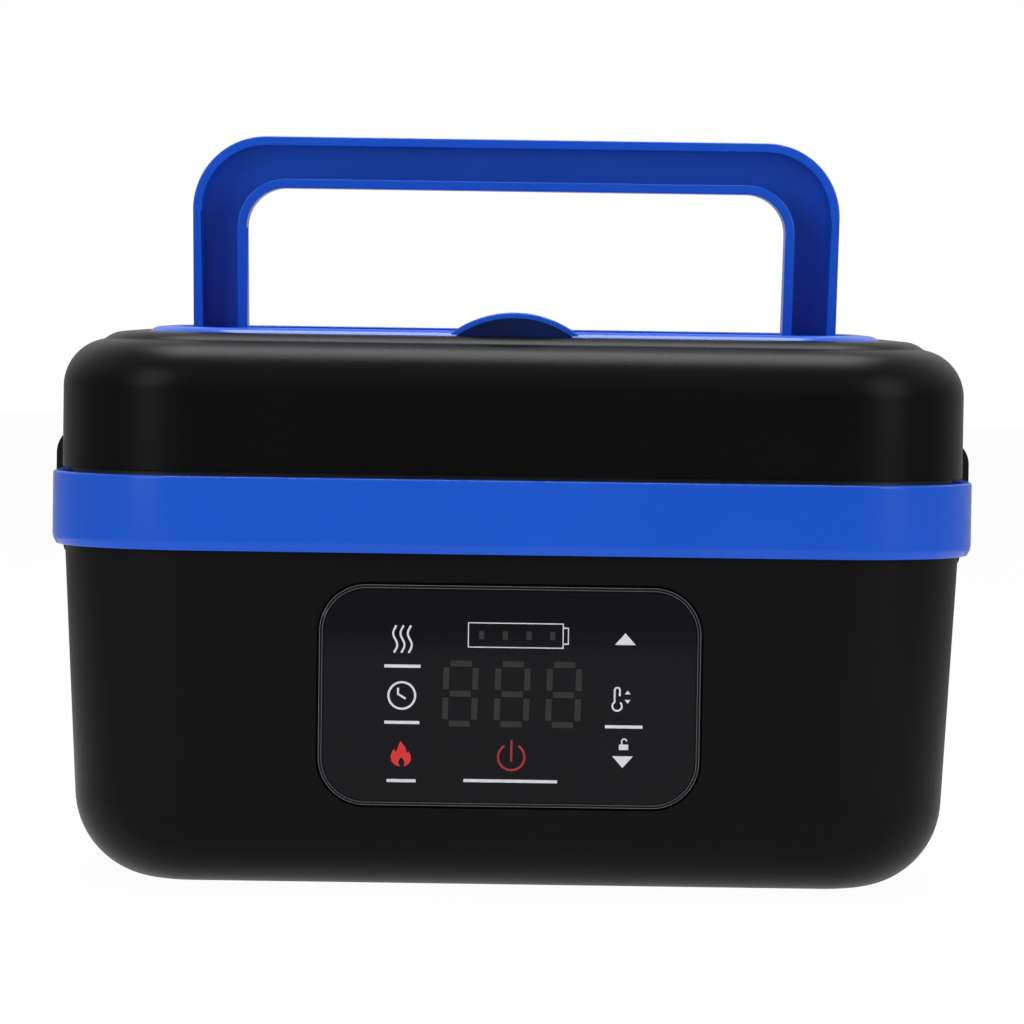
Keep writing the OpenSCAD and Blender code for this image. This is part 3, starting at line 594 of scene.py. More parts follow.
# Ribbon, socket and leads: a grey flat cable joins the two boards, and a barrel socket held
# by a nut in the back wall feeds the control board through two red leads.
ribbon_grey = striped(
    finish("ribbon_grey", ((0.45, 0.45, 0.44), (0.52, 0.52, 0.5)), 90, (0.45, 0.55), 900, 0.00001),
    787, "X", 0.25, (0.2, 0.2, 0.2),
)
fastener_steel = finish(
    "fastener_steel", ((0.48, 0.48, 0.49), (0.58, 0.58, 0.59)), 300, (0.28, 0.4), 2400, 0.00001, metallic=1.0
)
lead_red = finish("lead_red", ((0.42, 0.012, 0.01), (0.5, 0.02, 0.015)), 120, (0.4, 0.5), 2000, 0.00001)
dress(ribbon_grey, "display_cable")
dress(inner_black, "charging_socket")
dress(fastener_steel, "socket_nut", "latch_pins")
dress(lead_red, "charge_leads", "heater_leads")


# Base cover, its screws and the feet: a black moulded plate with vent slots closes the floor,
# held by six cross-head screws, and four rubber pads are pressed into the body beside it.
rubber_black = finish(
    "rubber_black", ((0.009, 0.009, 0.009), (0.014, 0.014, 0.014)), 70, (0.7, 0.85), 1500, 0.00008,
    Specular_IOR_Level=0.25,
)
dress(body_black, "base_cover")
dress(fastener_steel, "cover_screws")
dress(rubber_black, "feet")


# Heater: a drawn aluminium well with a flange hangs under the band's ledge. A film heater is
# stuck under its floor, with a fuse and a sensor in pockets of the felt that keeps the heat in.
well_aluminium = finish(
    "well_aluminium", ((0.58, 0.59, 0.6), (0.68, 0.69, 0.7)), 45, (0.3, 0.45), 500, 0.00003,
    metallic=1.0, stretch=(1, 1, 10),
)
heater_film = striped(
    finish("heater_film", ((0.36, 0.12, 0.02), (0.44, 0.16, 0.03)), 60, (0.25, 0.35), 400, 0.00001),
    125, "Y", 0.3, (0.2, 0.19, 0.17),
)
felt = finish("felt", ((0.55, 0.54, 0.5), (0.72, 0.7, 0.66)), 900, (0.9, 1.0), 2200, 0.0006)
dress(well_aluminium, "heating_well")
dress(heater_film, "heater_mat")
dress(felt, "insulation")
dress(nickel, "thermal_fuse")
dress(inner_black, "temperature_sensor")


# Trim band: a glossy blue ring, moulded in one with the deck and the ledge that carries the
# container's rim. It closes the joint of body and lid, and both its ends are let in for the latches.
container_low, container_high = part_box("food_container")
band_chamfer_width = 0.0011
band_chamfer_height = 0.003
band_edge = 0.0008
band_rounding = 0.00025
band_wall = 0.0034
deck_thickness = 0.0028
ledge_drop = 0.0036
pot_corner = 0.028
pot_rim = 0.008
pot_x = container_high.x - pot_rim - pot_corner
pot_y = container_high.y - pot_rim - pot_corner
ledge_out = 0.0366
ledge_in = 0.0312
ledge_wall = 0.0016
latch_gap = 0.0004
latch_side_gap = 0.0006
latch_thickness = 0.0022
sharp = math.radians(40)

gloss_blue = finish(
    "gloss_blue", ((0.0048, 0.068, 0.47), (0.006, 0.076, 0.51)), 14, (0.14, 0.2), 42, 0.00018,
    Specular_IOR_Level=0.22,
)
side_low, side_high = band_low.z + band_chamfer_height, band_high.z - band_edge
band = upright_block("trim_band_moulding", band_high.x, band_high.y, band_corner, side_low, side_high, 32)
carry(band, side_high, 1, bend(band_corner - band_edge, side_high, band_edge, 0, 90, 5))
carry(band, side_low, -1, [
    (band_corner, side_low),
    (band_corner - band_chamfer_width * 0.25, band_low.z + band_chamfer_height * 0.5),
    (band_corner - band_chamfer_width, band_low.z),
])
deck_z = band_high.z - deck_thickness
ledge_z = band_high.z - ledge_drop
cavity = ring_block("cavity", corner_x, corner_y, band_corner - band_wall, band_low.z - past, deck_z)
ring = ring_block("ring", pot_x, pot_y, ledge_out + ledge_wall, ledge_z - deck_thickness, deck_z + past)
cut(cavity, ring)
cut(band, cavity)
pocket = ring_block("pocket", pot_x, pot_y, ledge_out, ledge_z, band_high.z + past)
cut(band, pocket)
mouth = ring_block("mouth", pot_x, pot_y, ledge_in, band_low.z - past, band_high.z + past)
cut(band, mouth)


def latch_notch(side):
    """The place let into the band's end that a latch lies in."""
    half = latch_length / 2 + latch_side_gap
    notch = end_block(
        "notch", side, latch_high.x - latch_thickness - latch_gap, band_high.x + 2 * past,
        (-half, band_low.z - past), (half, band_high.z + past),
    )
    cut(band, notch)


def soften(piece, width, segments=2):
    """Rounds all sharp edges of a piece a little, as a mould does."""
    step = piece.modifiers.new("soften", "BEVEL")
    step.width = width
    step.segments = segments
    step.limit_method = "ANGLE"
    step.angle_limit = sharp
    step.miter_outer = "MITER_ARC"
    apply_step(piece, step)


both_ends(latch_notch)
soften(band, band_rounding)
fit(band, "base", "gloss_blue", gloss_blue, "trim_band")


# Touch panel: a dark smoked glass plate with a bevelled rim, a touch proud of its seat.
# Signs are printed on it in white and red; three digits and the battery's bars are unlit.
panel_bevel = 0.0011
panel_groove_depth = 0.00022
panel_groove_near, panel_groove_far = 0.00012, 0.00036
panel_face_start = 0.0005
panel_face_drop = 0.00005

panel_glass = finish(
    "panel_glass", ((0.0028, 0.0027, 0.0038), (0.0033, 0.0032, 0.0044)), 12, (0.05, 0.075), 30, 0.00001,
    Specular_IOR_Level=0.13,
)
glass_side_top = panel_proud - panel_bevel * 0.6
glass_flat = panel_corner - panel_bevel
panel = upright_block(
    "touch_panel_glass", panel_half_x, panel_half_y, panel_corner, -panel_seat, glass_side_top
)
carry(panel, glass_side_top, 1, [
    (panel_corner, glass_side_top),
    (panel_corner - panel_bevel * 0.2, panel_proud - panel_bevel * 0.25),
    (glass_flat, panel_proud),
    (glass_flat - panel_groove_near, panel_proud - panel_groove_depth),
    (glass_flat - panel_groove_far, panel_proud - panel_groove_depth),
    (glass_flat - panel_face_start, panel_proud - panel_face_drop),
])
place_on_panel(panel)
fit(panel, "base", "panel_glass", panel_glass, "touch_panel")

mark_sink = 0.00004
mark_lift = panel_proud - mark_sink
mark_relief = 0.06
mark_shift = 0.0006
millimetre = 0.001
ink_thickness = 0.00001


def drawn(lines, width, closed=False):
    """Strokes of a width through points (right, up) in millimetres from the panel's centre."""
    curve = bpy.data.curves.new("stroke", "CURVE")
    curve.dimensions = "3D"
    curve.bevel_depth = width * millimetre / 2
    curve.bevel_resolution = 2
    curve.use_fill_caps = True
    for points in lines:
        trace(curve, points, closed)
    return marked(curve, mark_relief)


def filled(points):
    """A flat shape inside points (right, up) in millimetres from the panel's centre."""
    curve = bpy.data.curves.new("shape", "CURVE")
    curve.dimensions = "2D"
    curve.fill_mode = "BOTH"
    curve.extrude = ink_thickness
    trace(curve, points, True)
    return marked(curve, 1)


def trace(curve, points, closed):
    """Adds a line of straight stretches to a curve."""
    spline = curve.splines.new("POLY")
    spline.points.add(len(points) - 1)
    for knot, (x, y) in zip(spline.points, points):
        knot.co = (x * millimetre, y * millimetre, 0, 1)
    spline.use_cyclic_u = closed


def marked(curve, flatness):
    """Makes a curve a flat mesh on the panel's face."""
    sign = bpy.data.objects.new("sign", curve)
    bpy.context.scene.collection.objects.link(sign)
    pick_up(sign)
    bpy.ops.object.convert(target="MESH")
    sign = bpy.context.active_object
    sign.scale = (1, 1, flatness)
    sign.location = (mark_shift, 0, mark_lift)
    settle(sign)
    return sign


def round_points(x, y, radius, start=0, end=360, steps=32):
    """Points along an arc between two angles in degrees."""
    angles = [math.radians(start + (end - start) * i / steps) for i in range(steps + 1)]
    return [(x + radius * math.cos(a), y + radius * math.sin(a)) for a in angles]


def printed(name, signs, colour):
    """Joins signs of one colour into a print on the panel."""
    bpy.ops.object.select_all(action="DESELECT")
    for sign in signs:
        sign.select_set(True)
    bpy.context.view_layer.objects.active = signs[0]
    if len(signs) > 1:
        bpy.ops.object.join()
    print_piece = bpy.context.active_object
    print_piece.name = name
    place_on_panel(print_piece)
    ink = finish(name + "_ink", (tuple(c * 0.9 for c in colour), colour), 400, (0.35, 0.5), 3000, 0.00001)
    fit(print_piece, "base", "panel_glass", ink)


bar_line, sign_line, small_line, thin_line = 0.9, 0.62, 0.52, 0.42


def bar(x, y, width):
    """A plain bar under a sign."""
    return drawn([[(x - width / 2, y), (x + width / 2, y)]], bar_line)


def steam(x, y):
    """Three wavy lines that rise side by side."""
    sway, height, steps, apart, line = 0.6, 7.9, 21, 2.1, 0.58
    turn, start = math.radians(20), math.radians(-30)
    wave = [(-sway * math.sin(k * turn + start), height / 2 - height * k / steps) for k in range(steps + 1)]
    return drawn([[(x + shift + px, y + py) for px, py in wave] for shift in (-apart, 0, apart)], line)


def triangle(x, y, width, height):
    """A solid triangle that points up, or down with a negative height."""
    return filled([(x - width / 2, y - height / 2), (x + width / 2, y - height / 2), (x, y + height / 2)])


def flame(x, y):
    """A solid flame with a tongue cut out at its foot."""
    outline = [
        (-0.1, -3.7), (-1.5, -3.4), (-2.6, -2.3), (-2.95, -0.8), (-2.5, 0.6), (-1.8, 1.5), (-1.6, 0.4),
        (-1.0, 1.2), (-0.7, 2.4), (-0.1, 3.7), (0.6, 2.8), (1.3, 1.9), (1.6, 0.9), (1.75, 0.1), (2.2, 0.8),
        (2.75, -0.1), (2.95, -1.3), (2.6, -2.5), (1.8, -3.3), (0.9, -3.7), (1.1, -2.6), (0.8, -1.7),
        (0.15, -0.9), (-0.35, -1.6), (-0.7, -2.5),
    ]
    return filled([(x + px, y + py) for px, py in outline])


def clock(x, y):
    """A ring with two hands."""
    hands = [(x - 1.1, y + 2.2), (x - 1.1, y + 0.4), (x + 1.1, y - 0.9)]
    return [drawn([round_points(x, y, 3.85)], sign_line), drawn([hands], sign_line)]


def battery_outline(left, right, low, high):
    """A lying battery with its pole at the right."""
    case = [(left, low), (right, low), (right, high), (left, high)]
    near, far, inset = right + 0.2, right + 1.5, 1.2
    pole = [(near, low + inset), (far, low + inset), (far, high - inset), (near, high - inset)]
    return [drawn([case], thin_line, closed=True), drawn([pole], thin_line)]


def thermometer(x, y):
    """A bulb with an open stem, round at its top."""
    half_width, rise = 0.75, 2.4
    side = [(x - half_width, y - 1.1), (x - half_width, y + rise)]
    bulb = drawn([round_points(x, y - 2.2, 1.35, 120, 410), side], small_line)
    cap = round_points(x, y + rise, half_width, 180, 0, 10) + [(x + half_width, y + 0.7)]
    return [bulb, drawn([cap], small_line)]


def padlock(x, y):
    """A solid lock with its shackle open."""
    half_width, half_height = 1.35, 0.8
    case = filled([
        (x - half_width, y - half_height), (x + half_width, y - half_height),
        (x + half_width, y + half_height), (x - half_width, y + half_height),
    ])
    shackle = [(x - 0.55, y + 0.8), (x - 0.55, y + 1.7)] + round_points(x + 0.15, y + 1.7, 0.7, 180, 0, 8)
    return [case, drawn([shackle], thin_line)]


white_signs = [
    steam(-31.5, 16.3), *clock(-31.5, 0), *battery_outline(-12.6, 14.6, 14.3, 21.3),
    triangle(32.5, 17.2, 6, 3.4), triangle(32.2, -18.4, 6, -3.4), *thermometer(30.4, 0),
    triangle(33.4, 1.8, 1.7, 1.1), triangle(33.4, -0.9, 1.7, -1.1), *padlock(32.45, -14.1),
    bar(-31.4, 8.5, 10.4), bar(-31.4, -7.8, 10.1), bar(-31.4, -24.7, 8.4),
    bar(32.4, -8.2, 10.8), bar(0, -24.4, 27),
]
printed("panel_signs_white", white_signs, (0.6, 0.6, 0.64))
printed("panel_sign_heat", [flame(-31.6, -16.9)], (0.58, 0.007, 0.011))
power_x, power_y = 0.2, -17.4
power_signs = [
    drawn([round_points(power_x, power_y, 3.8, 122, 418)], sign_line),
    drawn([[(power_x, power_y + 4.9), (power_x, power_y - 1.3)]], sign_line),
]
printed("panel_sign_power", power_signs, (0.3, 0.006, 0.01))


def unlit_digit(x, y):
    """The seven strokes of one unlit digit, leaning a little, with gaps where they meet."""
    wide, tall, lean, gap, line = 4.2, 8.7, 0.2, 0.14, 1.7
    level = [((-wide, height), (wide, height)) for height in (tall, 0, -tall)]
    upright = [((end, top), (end, top - tall)) for end in (-wide, wide) for top in (tall, 0)]
    strokes = []
    for start, end in level + upright:
        ends = (Vector(start).lerp(end, gap), Vector(end).lerp(start, gap))
        strokes.append([(x + at.x + lean * at.y / tall, y + at.y) for at in ends])
    return drawn(strokes, line)


def charge_bar(place):
    """One short unlit bar inside the battery's outline, counted from the left."""
    x, low, high, line = -8.8 + 6.8 * place, 16.6, 19, 1.5
    return drawn([[(x, low), (x, high)]], line)


unlit_marks = [unlit_digit(x, 0.8) for x in (-14.7, 0.2, 15)] + [charge_bar(place) for place in range(4)]
printed("panel_digits_unlit", unlit_marks, (0.0046, 0.0046, 0.005))


def painted_highlight_line(inset, lift, width):
    """A thin pale line along the glass's rim, a painted highlight of its polished bevel, so far in and so
    high in metres.
    """
    half_x, half_y = (panel_half_x - inset) / millimetre, (panel_half_y - inset) / millimetre
    radius = (panel_corner - inset) / millimetre
    points = []
    for turn, (x, y) in enumerate(((1, 1), (-1, 1), (-1, -1), (1, -1))):
        centre = (x * (half_x - radius), y * (half_y - radius))
        points += round_points(*centre, radius, 90 * turn, 90 * turn + 90, 16)
    line = drawn([points], width, closed=True)
    line.location = (-mark_shift, 0, lift - mark_lift)
    settle(line)
    return line


# Painted highlights: two pale grey rings laid on the glass's rim stand in for the light that its polished
# bevel catches.
outer_painted_highlight = painted_highlight_line(0.00028, panel_proud - 0.00025, 0.2)
inner_painted_highlight = painted_highlight_line(0.00104, panel_proud - 0.00001, 0.14)
printed("panel_painted_highlights", [outer_painted_highlight, inner_painted_highlight], (0.12, 0.12, 0.14))


# Latches: one at each end, a rolled section in glossy black that turns on a steel pin under
# the band and hooks over the lid's end. Three grooves across its face give the thumb a hold.
latch_radius = 0.008
latch_bottom = band_low.z + 0.0026
latch_top = band_high.z + 0.0042
tongue_gap = 0.0008
tongue_length = latch_length - 2 * (ear_length + tongue_gap)
lid_low, lid_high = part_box("lid_shell")
lid_reach = lid_high.y - corner_y
lip_gap = 0.0005
lip_in = corner_x + lid_reach + lip_gap
ear_room = 0.0006
grip_radius = 0.0008
grip_top_z = band_high.z - 0.0015
grip_pitch = 0.003
grip_margin = 0.006
well_inside, well_under, well_over = 0.1, 0.05, 0.17

latch_black = finish(
    "latch_black", ((0.003, 0.003, 0.0034), (0.004, 0.004, 0.0045)), 20, (0.16, 0.24), 1200, 0.00001,
    Specular_IOR_Level=0.25,
)


def build_latch(side):
    """A rolled section cut from a round-ended bar, with a barrel for its pin and three grooves."""
    node = "latch_right" if side > 0 else "latch_left"
    centre_x = latch_high.x - latch_radius
    half_height = (latch_top - latch_bottom) / 2 + latch_radius
    middle = (latch_top + latch_bottom) / 2
    latch = upright_block(
        node + "_moulding", latch_radius, half_height, latch_radius - touching,
        -latch_length / 2, latch_length / 2, 20,
    )
    latch.matrix_world = Matrix.Translation((centre_x, 0, middle)) @ Matrix.Rotation(math.pi / 2, 4, "X")
    settle(latch)
    wide = latch_length
    face = latch_high.x - latch_thickness
    foot_z, lip_z = band_low.z - latch_gap, latch_top - past / 2
    tools = [
        block("above_pin", (well_inside, -wide, well_under), (pin_x, wide, latch_top)),
        block("before_lip", (well_inside, -wide, lip_z), (lip_in, wide, well_over)),
        block("behind_face", (well_inside, -wide, foot_z), (face, wide, latch_top)),
        rod("inside_roll", "Y", (centre_x, 0, latch_top), latch_radius - latch_thickness, 2 * wide, 96),
    ]
    for tool in tools:
        cut(latch, tool)
    join(latch, rod("barrel", "Y", (pin_x, 0, pin_z), ear_radius, tongue_length, 48))
    room_x, room_z = 0.02, ear_radius + ear_room
    half = (latch_length - tongue_length) / 2
    for end in (-1, 1):
        y = end * latch_length / 2
        low, high = (pin_x - room_x, y - half, pin_z - room_z), (pin_x + room_x, y + half, pin_z + room_z)
        room = block("room", low, high)
        cut(latch, room)
    cut(latch, rod("hole", "Y", (pin_x, 0, pin_z), pin_radius + snug, 2 * wide, 48))
    for row in range(3):
        at = (latch_high.x + grip_radius / 2, 0, grip_top_z - row * grip_pitch)
        groove = rod("groove", "Y", at, grip_radius, latch_length - 2 * grip_margin, 32)
        cut(latch, groove)
    if side < 0:
        latch.scale = (-1, 1, 1)
        settle(latch)
        choose(latch, "FACE", lambda f: True)
        bpy.ops.mesh.normals_make_consistent(inside=False)
        put_down()
    fit(latch, node, "latch_black", latch_black, node)


both_ends(build_latch)


# Food container: drawn from thin steel sheet, with a flat rim rolled under at its edge
# that rests on the band's ledge, and walls that draw in a little towards the floor.
pot_thickness = 0.0008
pot_draft = math.radians(1.5)
pot_fillet = 0.01
rim_roll = 0.00045
rim_turn = 0.0016

brushed_steel = finish(
    "brushed_steel", ((0.56, 0.565, 0.57), (0.66, 0.665, 0.67)), 60, (0.22, 0.34), 900, 0.00002,
    metallic=1.0, stretch=(1, 1, 14),
)


def pot_profile():
    """The rolled rim, the turn into the pot, its drafted wall and the round corner at its floor."""
    top = container_high.z
    reach = pot_corner + pot_rim
    inner = pot_corner - pot_thickness
    drop = top - container_low.z - pot_thickness - pot_fillet
    lean = drop * math.tan(pot_draft)
    centre = inner - lean - pot_fillet / math.cos(pot_draft)
    floor = container_low.z + pot_thickness
    points = [(reach, top - 2 * rim_roll)] + bend(reach - rim_roll, top - rim_roll, rim_roll, 0, 90, 4)
    points += bend(inner + rim_turn, top - rim_turn, rim_turn, 90, 180, 6)
    points += bend(centre, floor + pot_fillet, pot_fillet, -math.degrees(pot_draft), -90, 12)
    return points


blank_high = container_high.z - 2 * rim_roll
blank_low = container_high.z - 0.001
pot = upright_block(
    "food_container_drawn", container_high.x, container_high.y, pot_corner + pot_rim, blank_low, blank_high
)
carry(pot, blank_high, 1, pot_profile())
open_at(pot, blank_low, -1)
sheet = pot.modifiers.new("sheet", "SOLIDIFY")
sheet.thickness = pot_thickness * 0.9
sheet.offset = -1
apply_step(pot, sheet)
fit(pot, "container", "steel", brushed_steel, "food_container")


# Lid shell: a deep cap moulded in satin black, with a broad round shoulder, a raised soft rim
# round its top and a seat in it for the handle tray. A slot in each end takes a latch's lip.
insert_low, insert_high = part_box("lid_insert")
lid_wall = 0.0024
lid_shoulder = 0.014
rim_inset = 0.012
rim_crown = 0.0062
rim_rise = 0.0022
valley_radius = 0.003
tray_corner = 0.036
tray_x = insert_high.x - tray_corner
tray_y = insert_high.y - tray_corner
flange_width = 0.0044
tray_wall = 0.002
tray_gap = 0.0003
seat_z = lid_high.z - 0.0018
catch_depth = 0.0012
catch_low, catch_high = latch_top + 0.004, latch_top + 0.0086
lid_rounding = 0.0002

lid_black = finish(
    "lid_black", ((0.0017, 0.0017, 0.002), (0.0021, 0.0021, 0.0024)), 9, (0.26, 0.34), 2600, 0.00006,
    Specular_IOR_Level=0.07,
)


def lid_profile():
    """Shoulder, valley and rim of the lid, three arcs that touch."""
    top = lid_high.z - rim_rise
    shoulder_u, shoulder_z = lid_reach - lid_shoulder, top - lid_shoulder
    rise = rim_rise + 0.0001
    crown = (rim_crown ** 2 + rise ** 2) / (2 * rise)
    crown_u, crown_z = lid_reach - rim_inset - rim_crown, lid_high.z - crown
    shoulder_far, crown_far = lid_shoulder + valley_radius, crown + valley_radius
    apart = math.hypot(shoulder_u - crown_u, shoulder_z - crown_z)
    reach = (crown_far ** 2 - shoulder_far ** 2 + apart ** 2) / (2 * apart)
    side = math.sqrt(crown_far ** 2 - reach ** 2)
    way_u, way_z = (shoulder_u - crown_u) / apart, (shoulder_z - crown_z) / apart
    valley_u = crown_u + way_u * reach - way_z * side
    valley_z = crown_z + way_z * reach + way_u * side
    from_shoulder = math.degrees(math.atan2(valley_z - shoulder_z, valley_u - shoulder_u))
    from_crown = math.degrees(math.atan2(valley_z - crown_z, valley_u - crown_u))
    points = bend(shoulder_u, shoulder_z, lid_shoulder, 0, from_shoulder, 18)
    points += bend(valley_u, valley_z, valley_radius, from_shoulder + 180, from_crown + 180, 8)[1:]
    points += bend(crown_u, crown_z, crown, from_crown, 90, 10)[1:]
    return points


shoulder_start = lid_high.z - rim_rise - lid_shoulder
lid = ring_block("lid_shell_moulding", corner_x, corner_y, lid_reach, lid_low.z, shoulder_start, 32)
carry(lid, shoulder_start, 1, lid_profile())
wall(lid, lid_low.z, -1, lid_wall)
tray_seat = ring_block("tray_seat", tray_x, tray_y, tray_corner + tray_gap, seat_z, lid_high.z + past)
cut(lid, tray_seat)
tray_outside = tray_corner - flange_width + tray_wall
tray_hole = ring_block("tray_hole", tray_x, tray_y, tray_outside + tray_gap, lid_low.z, lid_high.z + past)
cut(lid, tray_hole)


def catch_slot(side):
    """The slot in the lid's end that a latch's lip snaps into."""
    half = tongue_length / 2
    face = corner_x + lid_reach
    slot = end_block(
        "slot", side, face - catch_depth, face + 2 * past, (-half, catch_low), (half, catch_high)
    )
    cut(lid, slot)


both_ends(catch_slot)
soften(lid, lid_rounding)
fit(lid, "lid", "lid_black", lid_black, "lid_shell")


# Lid insert: the blue handle tray, one moulding with a crowned flange that lies on the lid's
# rim, a boss at each side for the handle's stubs and an arched hood over the steam vent.
handle_low, handle_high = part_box("carry_handle")
plug_low, plug_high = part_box("vent_plug")
flange_crown = 0.0036
flange_lip = 0.0005
tray_proud = 0.0015
tray_top = lid_high.z + tray_proud
tray_floor = insert_low.z + tray_wall
tray_fillet = 0.0022
handle_thickness = handle_high.y - handle_low.y
hub_radius = handle_thickness / 2
hub_gap = 0.0007
pivot_z = tray_floor + hub_radius + hub_gap
handle_reach = handle_high.z - pivot_z
leg_lean = math.radians(1.1)
leg_gap = 0.0059
tray_inner_x = insert_high.x - flange_width
tray_inner_y = insert_high.y - flange_width
leg_out = tray_inner_x - leg_gap
hub_out = leg_out - handle_reach * math.tan(leg_lean) + 0.00035
boss_in = hub_out + 0.0006
boss_rise = 0.0004
boss_sink = 0.0004
bore_length = 0.008
stub_radius = 0.004
hood_width = 0.039
hood_height = 0.007
hood_depth = 0.0166
hood_wall = 0.0016
hood_rounding = 0.0006
hood_radius = ((hood_width / 2) ** 2 + hood_height ** 2) / (2 * hood_height)
hood_z = lid_high.z + hood_height - hood_radius
hood_front = -(insert_high.y - 0.0004)
hood_back = hood_front + hood_depth
hood_floor = lid_high.z - 0.0028
duct_y = (plug_low.y + plug_high.y) / 2
duct_radius = 0.004


def insert_profile():
    """The crowned flange, its soft inner lip, the tray's wall and the round turn at its floor."""
    crown = (flange_crown ** 2 + tray_proud ** 2) / (2 * tray_proud)
    turn = math.degrees(math.acos(flange_crown / crown))
    mouth = tray_corner - flange_width
    points = bend(tray_corner - flange_crown, tray_top - crown, crown, turn, 90, 8)
    points += bend(mouth + flange_lip, tray_top - flange_lip, flange_lip, 90, 180, 4)
    points += bend(mouth - tray_fillet, tray_floor + tray_fillet, tray_fillet, 0, -90, 6)
    return points


flange_side_top = tray_top - tray_proud
insert = upright_block(
    "lid_insert_moulding", insert_high.x, insert_high.y, tray_corner, insert_low.z, flange_side_top, 28
)
carry(insert, flange_side_top, 1, insert_profile())
around_x, around_y = 0.12, 0.09
around = block("around", (-around_x, -around_y, insert_low.z - past), (around_x, around_y, seat_z))
tray_body = ring_block("tray_body", tray_x, tray_y, tray_outside, insert_low.z - 2 * past, seat_z + past, 28)
cut(around, tray_body)
cut(insert, around)


def arch(name, radius, front, back, floor):
    """A round bar lying front to back, cut level at its floor."""
    bar_piece = rod(name, "Y", (0, (front + back) / 2, hood_z), radius, back - front, 192)
    choose(bar_piece, "FACE", lambda f: True)
    bpy.ops.mesh.bisect(plane_co=(0, 0, floor), plane_no=(0, 0, 1), use_fill=True, clear_inner=True)
    put_down()
    return bar_piece


def on_arch_rim(edge):
    """Whether an edge runs round the front or the back end of the hood, above the lid."""
    start, end = edge.verts
    return start.co.z > lid_high.z and abs(start.co.y - end.co.y) < touching


hood = arch("hood", hood_radius, hood_front, hood_back, tray_floor - 0.0004)
choose(hood, "EDGE", on_arch_rim)
round_chosen(hood_rounding, 3)
below_x, below_reach = 0.05, 10 * past
below_back = -tray_inner_y - tray_wall
below = block(
    "below", (-below_x, hood_front - below_reach, tray_floor - below_reach),
    (below_x, below_back, seat_z + past / 2),
)
cut(hood, below)
join(insert, hood)
cave = arch("cave", hood_radius - hood_wall, hood_front - past, hood_back - hood_wall, hood_floor)
cut(insert, cave)
for duct_z, duct_height in ((tray_floor, lid_high.z - tray_floor), (hood_floor, 4 * past)):
    cut(insert, rod("duct", "Z", (0, duct_y, duct_z), duct_radius, duct_height, 64))


def handle_boss(side):
    """A round-topped boss on the tray's wall, with a blind bore for the handle's stub."""
    low_x, high_x = sorted((side * boss_in, side * (tray_inner_x + past)))
    middle_x = (low_x + high_x) / 2
    radius = hub_radius + boss_rise
    boss = rod("boss", "X", (middle_x, 0, pivot_z), radius, high_x - low_x, 96)
    foot = block("foot", (low_x, -radius, tray_floor - past / 2), (high_x, radius, pivot_z))
    join(boss, foot)
    over_x, over_y, over_z = 10 * past, 20 * past, 20 * past
    over = block(
        "over", (low_x - over_x, -over_y, tray_top - boss_sink), (high_x + over_x, over_y, tray_top + over_z)
    )
    cut(boss, over)
    join(insert, boss)
    bore = rod("bore", "X", (middle_x - side * past, 0, pivot_z), stub_radius + snug, bore_length, 64)
    cut(insert, bore)


both_ends(handle_boss)
fit(insert, "lid", "gloss_blue", gloss_blue, "lid_insert")


# Carry handle: one blue moulding like a square arch, a deep channel open to the front between
# two ribs. Its legs lean in a touch, end round and turn on stubs in the tray's bosses.
leg_width = 0.0163
bar_height = 0.0155
handle_corner = 0.0227
grip_corner = 0.012
rib = 0.0028
web = 0.0032
channel_low = pivot_z + hub_radius - 0.0015
handle_rounding = 0.0005
hub_inset = 0.0012
hub_length = 0.003


def bow(name, half, corner, top, low, front, back):
    """A square arch seen from the front: half width at the top, round top corners, leaning sides."""
    centre = top - corner
    half_top = half + corner * math.tan(leg_lean)
    half_low = half - (centre - low) * math.tan(leg_lean)
    piece = block(name, (-half_top, front, low), (half_top, back, top))
    choose(piece, "FACE", lambda f: f.normal.z < -0.9)
    bpy.ops.transform.resize(value=(half_low / half_top, 1, 1))
    put_down()
    choose(piece, "EDGE", lambda e: along(e, 1) and e.verts[0].co.z > top - 10 * touching)
    round_chosen(corner, 28)
    return piece


handle = bow(
    "carry_handle_moulding", leg_out, handle_corner, handle_high.z, pivot_z - hub_radius,
    -hub_radius, hub_radius,
)
choose(handle, "EDGE", lambda e: along(e, 0) and e.verts[0].co.z < pivot_z)
round_chosen(hub_radius - 10 * touching, 20)
grip_in = leg_out - leg_width
grip_top = handle_high.z - bar_height
through, under, outside = 20 * past, pivot_z - 20 * past, 30 * past
opening = bow("opening", grip_in, grip_corner, grip_top, under, -through, through)
cut(handle, opening)
channel = bow(
    "channel", leg_out - rib, handle_corner - rib, handle_high.z - rib, channel_low,
    -through, hub_radius - web,
)
island = bow(
    "island", grip_in + rib, grip_corner + rib, grip_top + rib, pivot_z - 10 * past, -outside, outside
)
cut(channel, island)
cut(handle, channel)


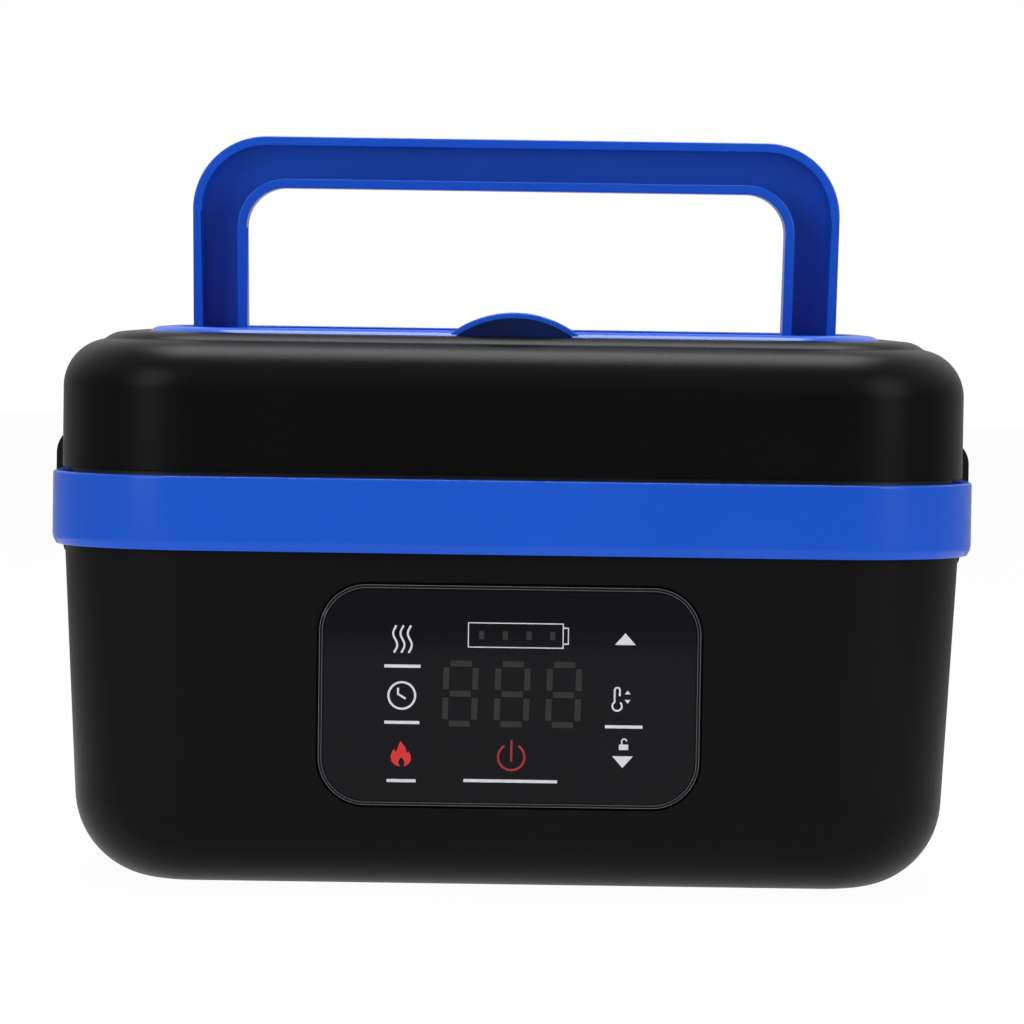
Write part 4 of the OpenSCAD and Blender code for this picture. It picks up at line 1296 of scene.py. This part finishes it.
def handle_stub(side):
    """A round hub on a leg's inner foot and the stub that turns in the tray's boss."""
    inner = hub_out - hub_length
    hub = rod("hub", "X", (side * (inner + hub_out) / 2, 0, pivot_z), hub_radius - hub_inset, hub_out - inner)
    join(handle, hub)
    start, end = hub_out - past, handle_high.x
    stub = rod("stub", "X", (side * (start + end) / 2, 0, pivot_z), stub_radius, end - start)
    join(handle, stub)


both_ends(handle_stub)


def on_handle_rim(edge):
    """Whether an edge lies in the handle's front or back face, above the tray's bosses."""
    clear_z = pivot_z + hub_radius + 0.0005
    return all(abs(abs(v.co.y) - hub_radius) < 10 * touching and v.co.z > clear_z for v in edge.verts)


def round_edges(piece, width, segments, test):
    """Merges the tiny edges that cuts leave and rounds the sharp edges that pass a test."""
    tiny = 4e-5
    merge(piece, tiny)
    choose(piece, "EDGE", lambda e: e.calc_face_angle(0) > sharp and test(e))
    round_chosen(width, segments)


round_edges(handle, handle_rounding, 3, on_handle_rim)

# The small round mark that the mould's gate leaves in the middle of the web: a ring and a dot.
gate_outer, gate_inner, gate_core = 0.0017, 0.0014, 0.0005
gate_at = (0, hub_radius - web, handle_high.z - bar_height / 2)
gate = rod("gate", "Y", gate_at, gate_outer, 0.0004, 32)
cut(gate, rod("gate_cut", "Y", gate_at, gate_inner, 2 * past, 32))
gate_dot = rod("gate_dot", "Y", gate_at, gate_core, 0.0005, 24)
pick_up(handle)
gate.select_set(True)
gate_dot.select_set(True)
bpy.ops.object.join()
fit(handle, "handle", "gloss_blue", gloss_blue, "carry_handle")


# Inside of the lid: a black liner closes it from below, held by six screws into the lid's
# bosses, and carries a white silicone seal that presses on the container's rim.
silicone_white = finish(
    "silicone_white", ((0.66, 0.66, 0.65), (0.74, 0.74, 0.73)), 60, (0.5, 0.62), 900, 0.00003,
    Subsurface_Weight=0.1, Subsurface_Scale=0.002,
)
dress(inner_black, "lid_liner")
dress(silicone_white, "lid_seal")
dress(fastener_steel, "lid_screws")


# Vent plug: a loose white silicone cap in the steam duct under the hood.
# The steam of the food lifts it by about two millimetres.
dress(silicone_white, "vent_plug")
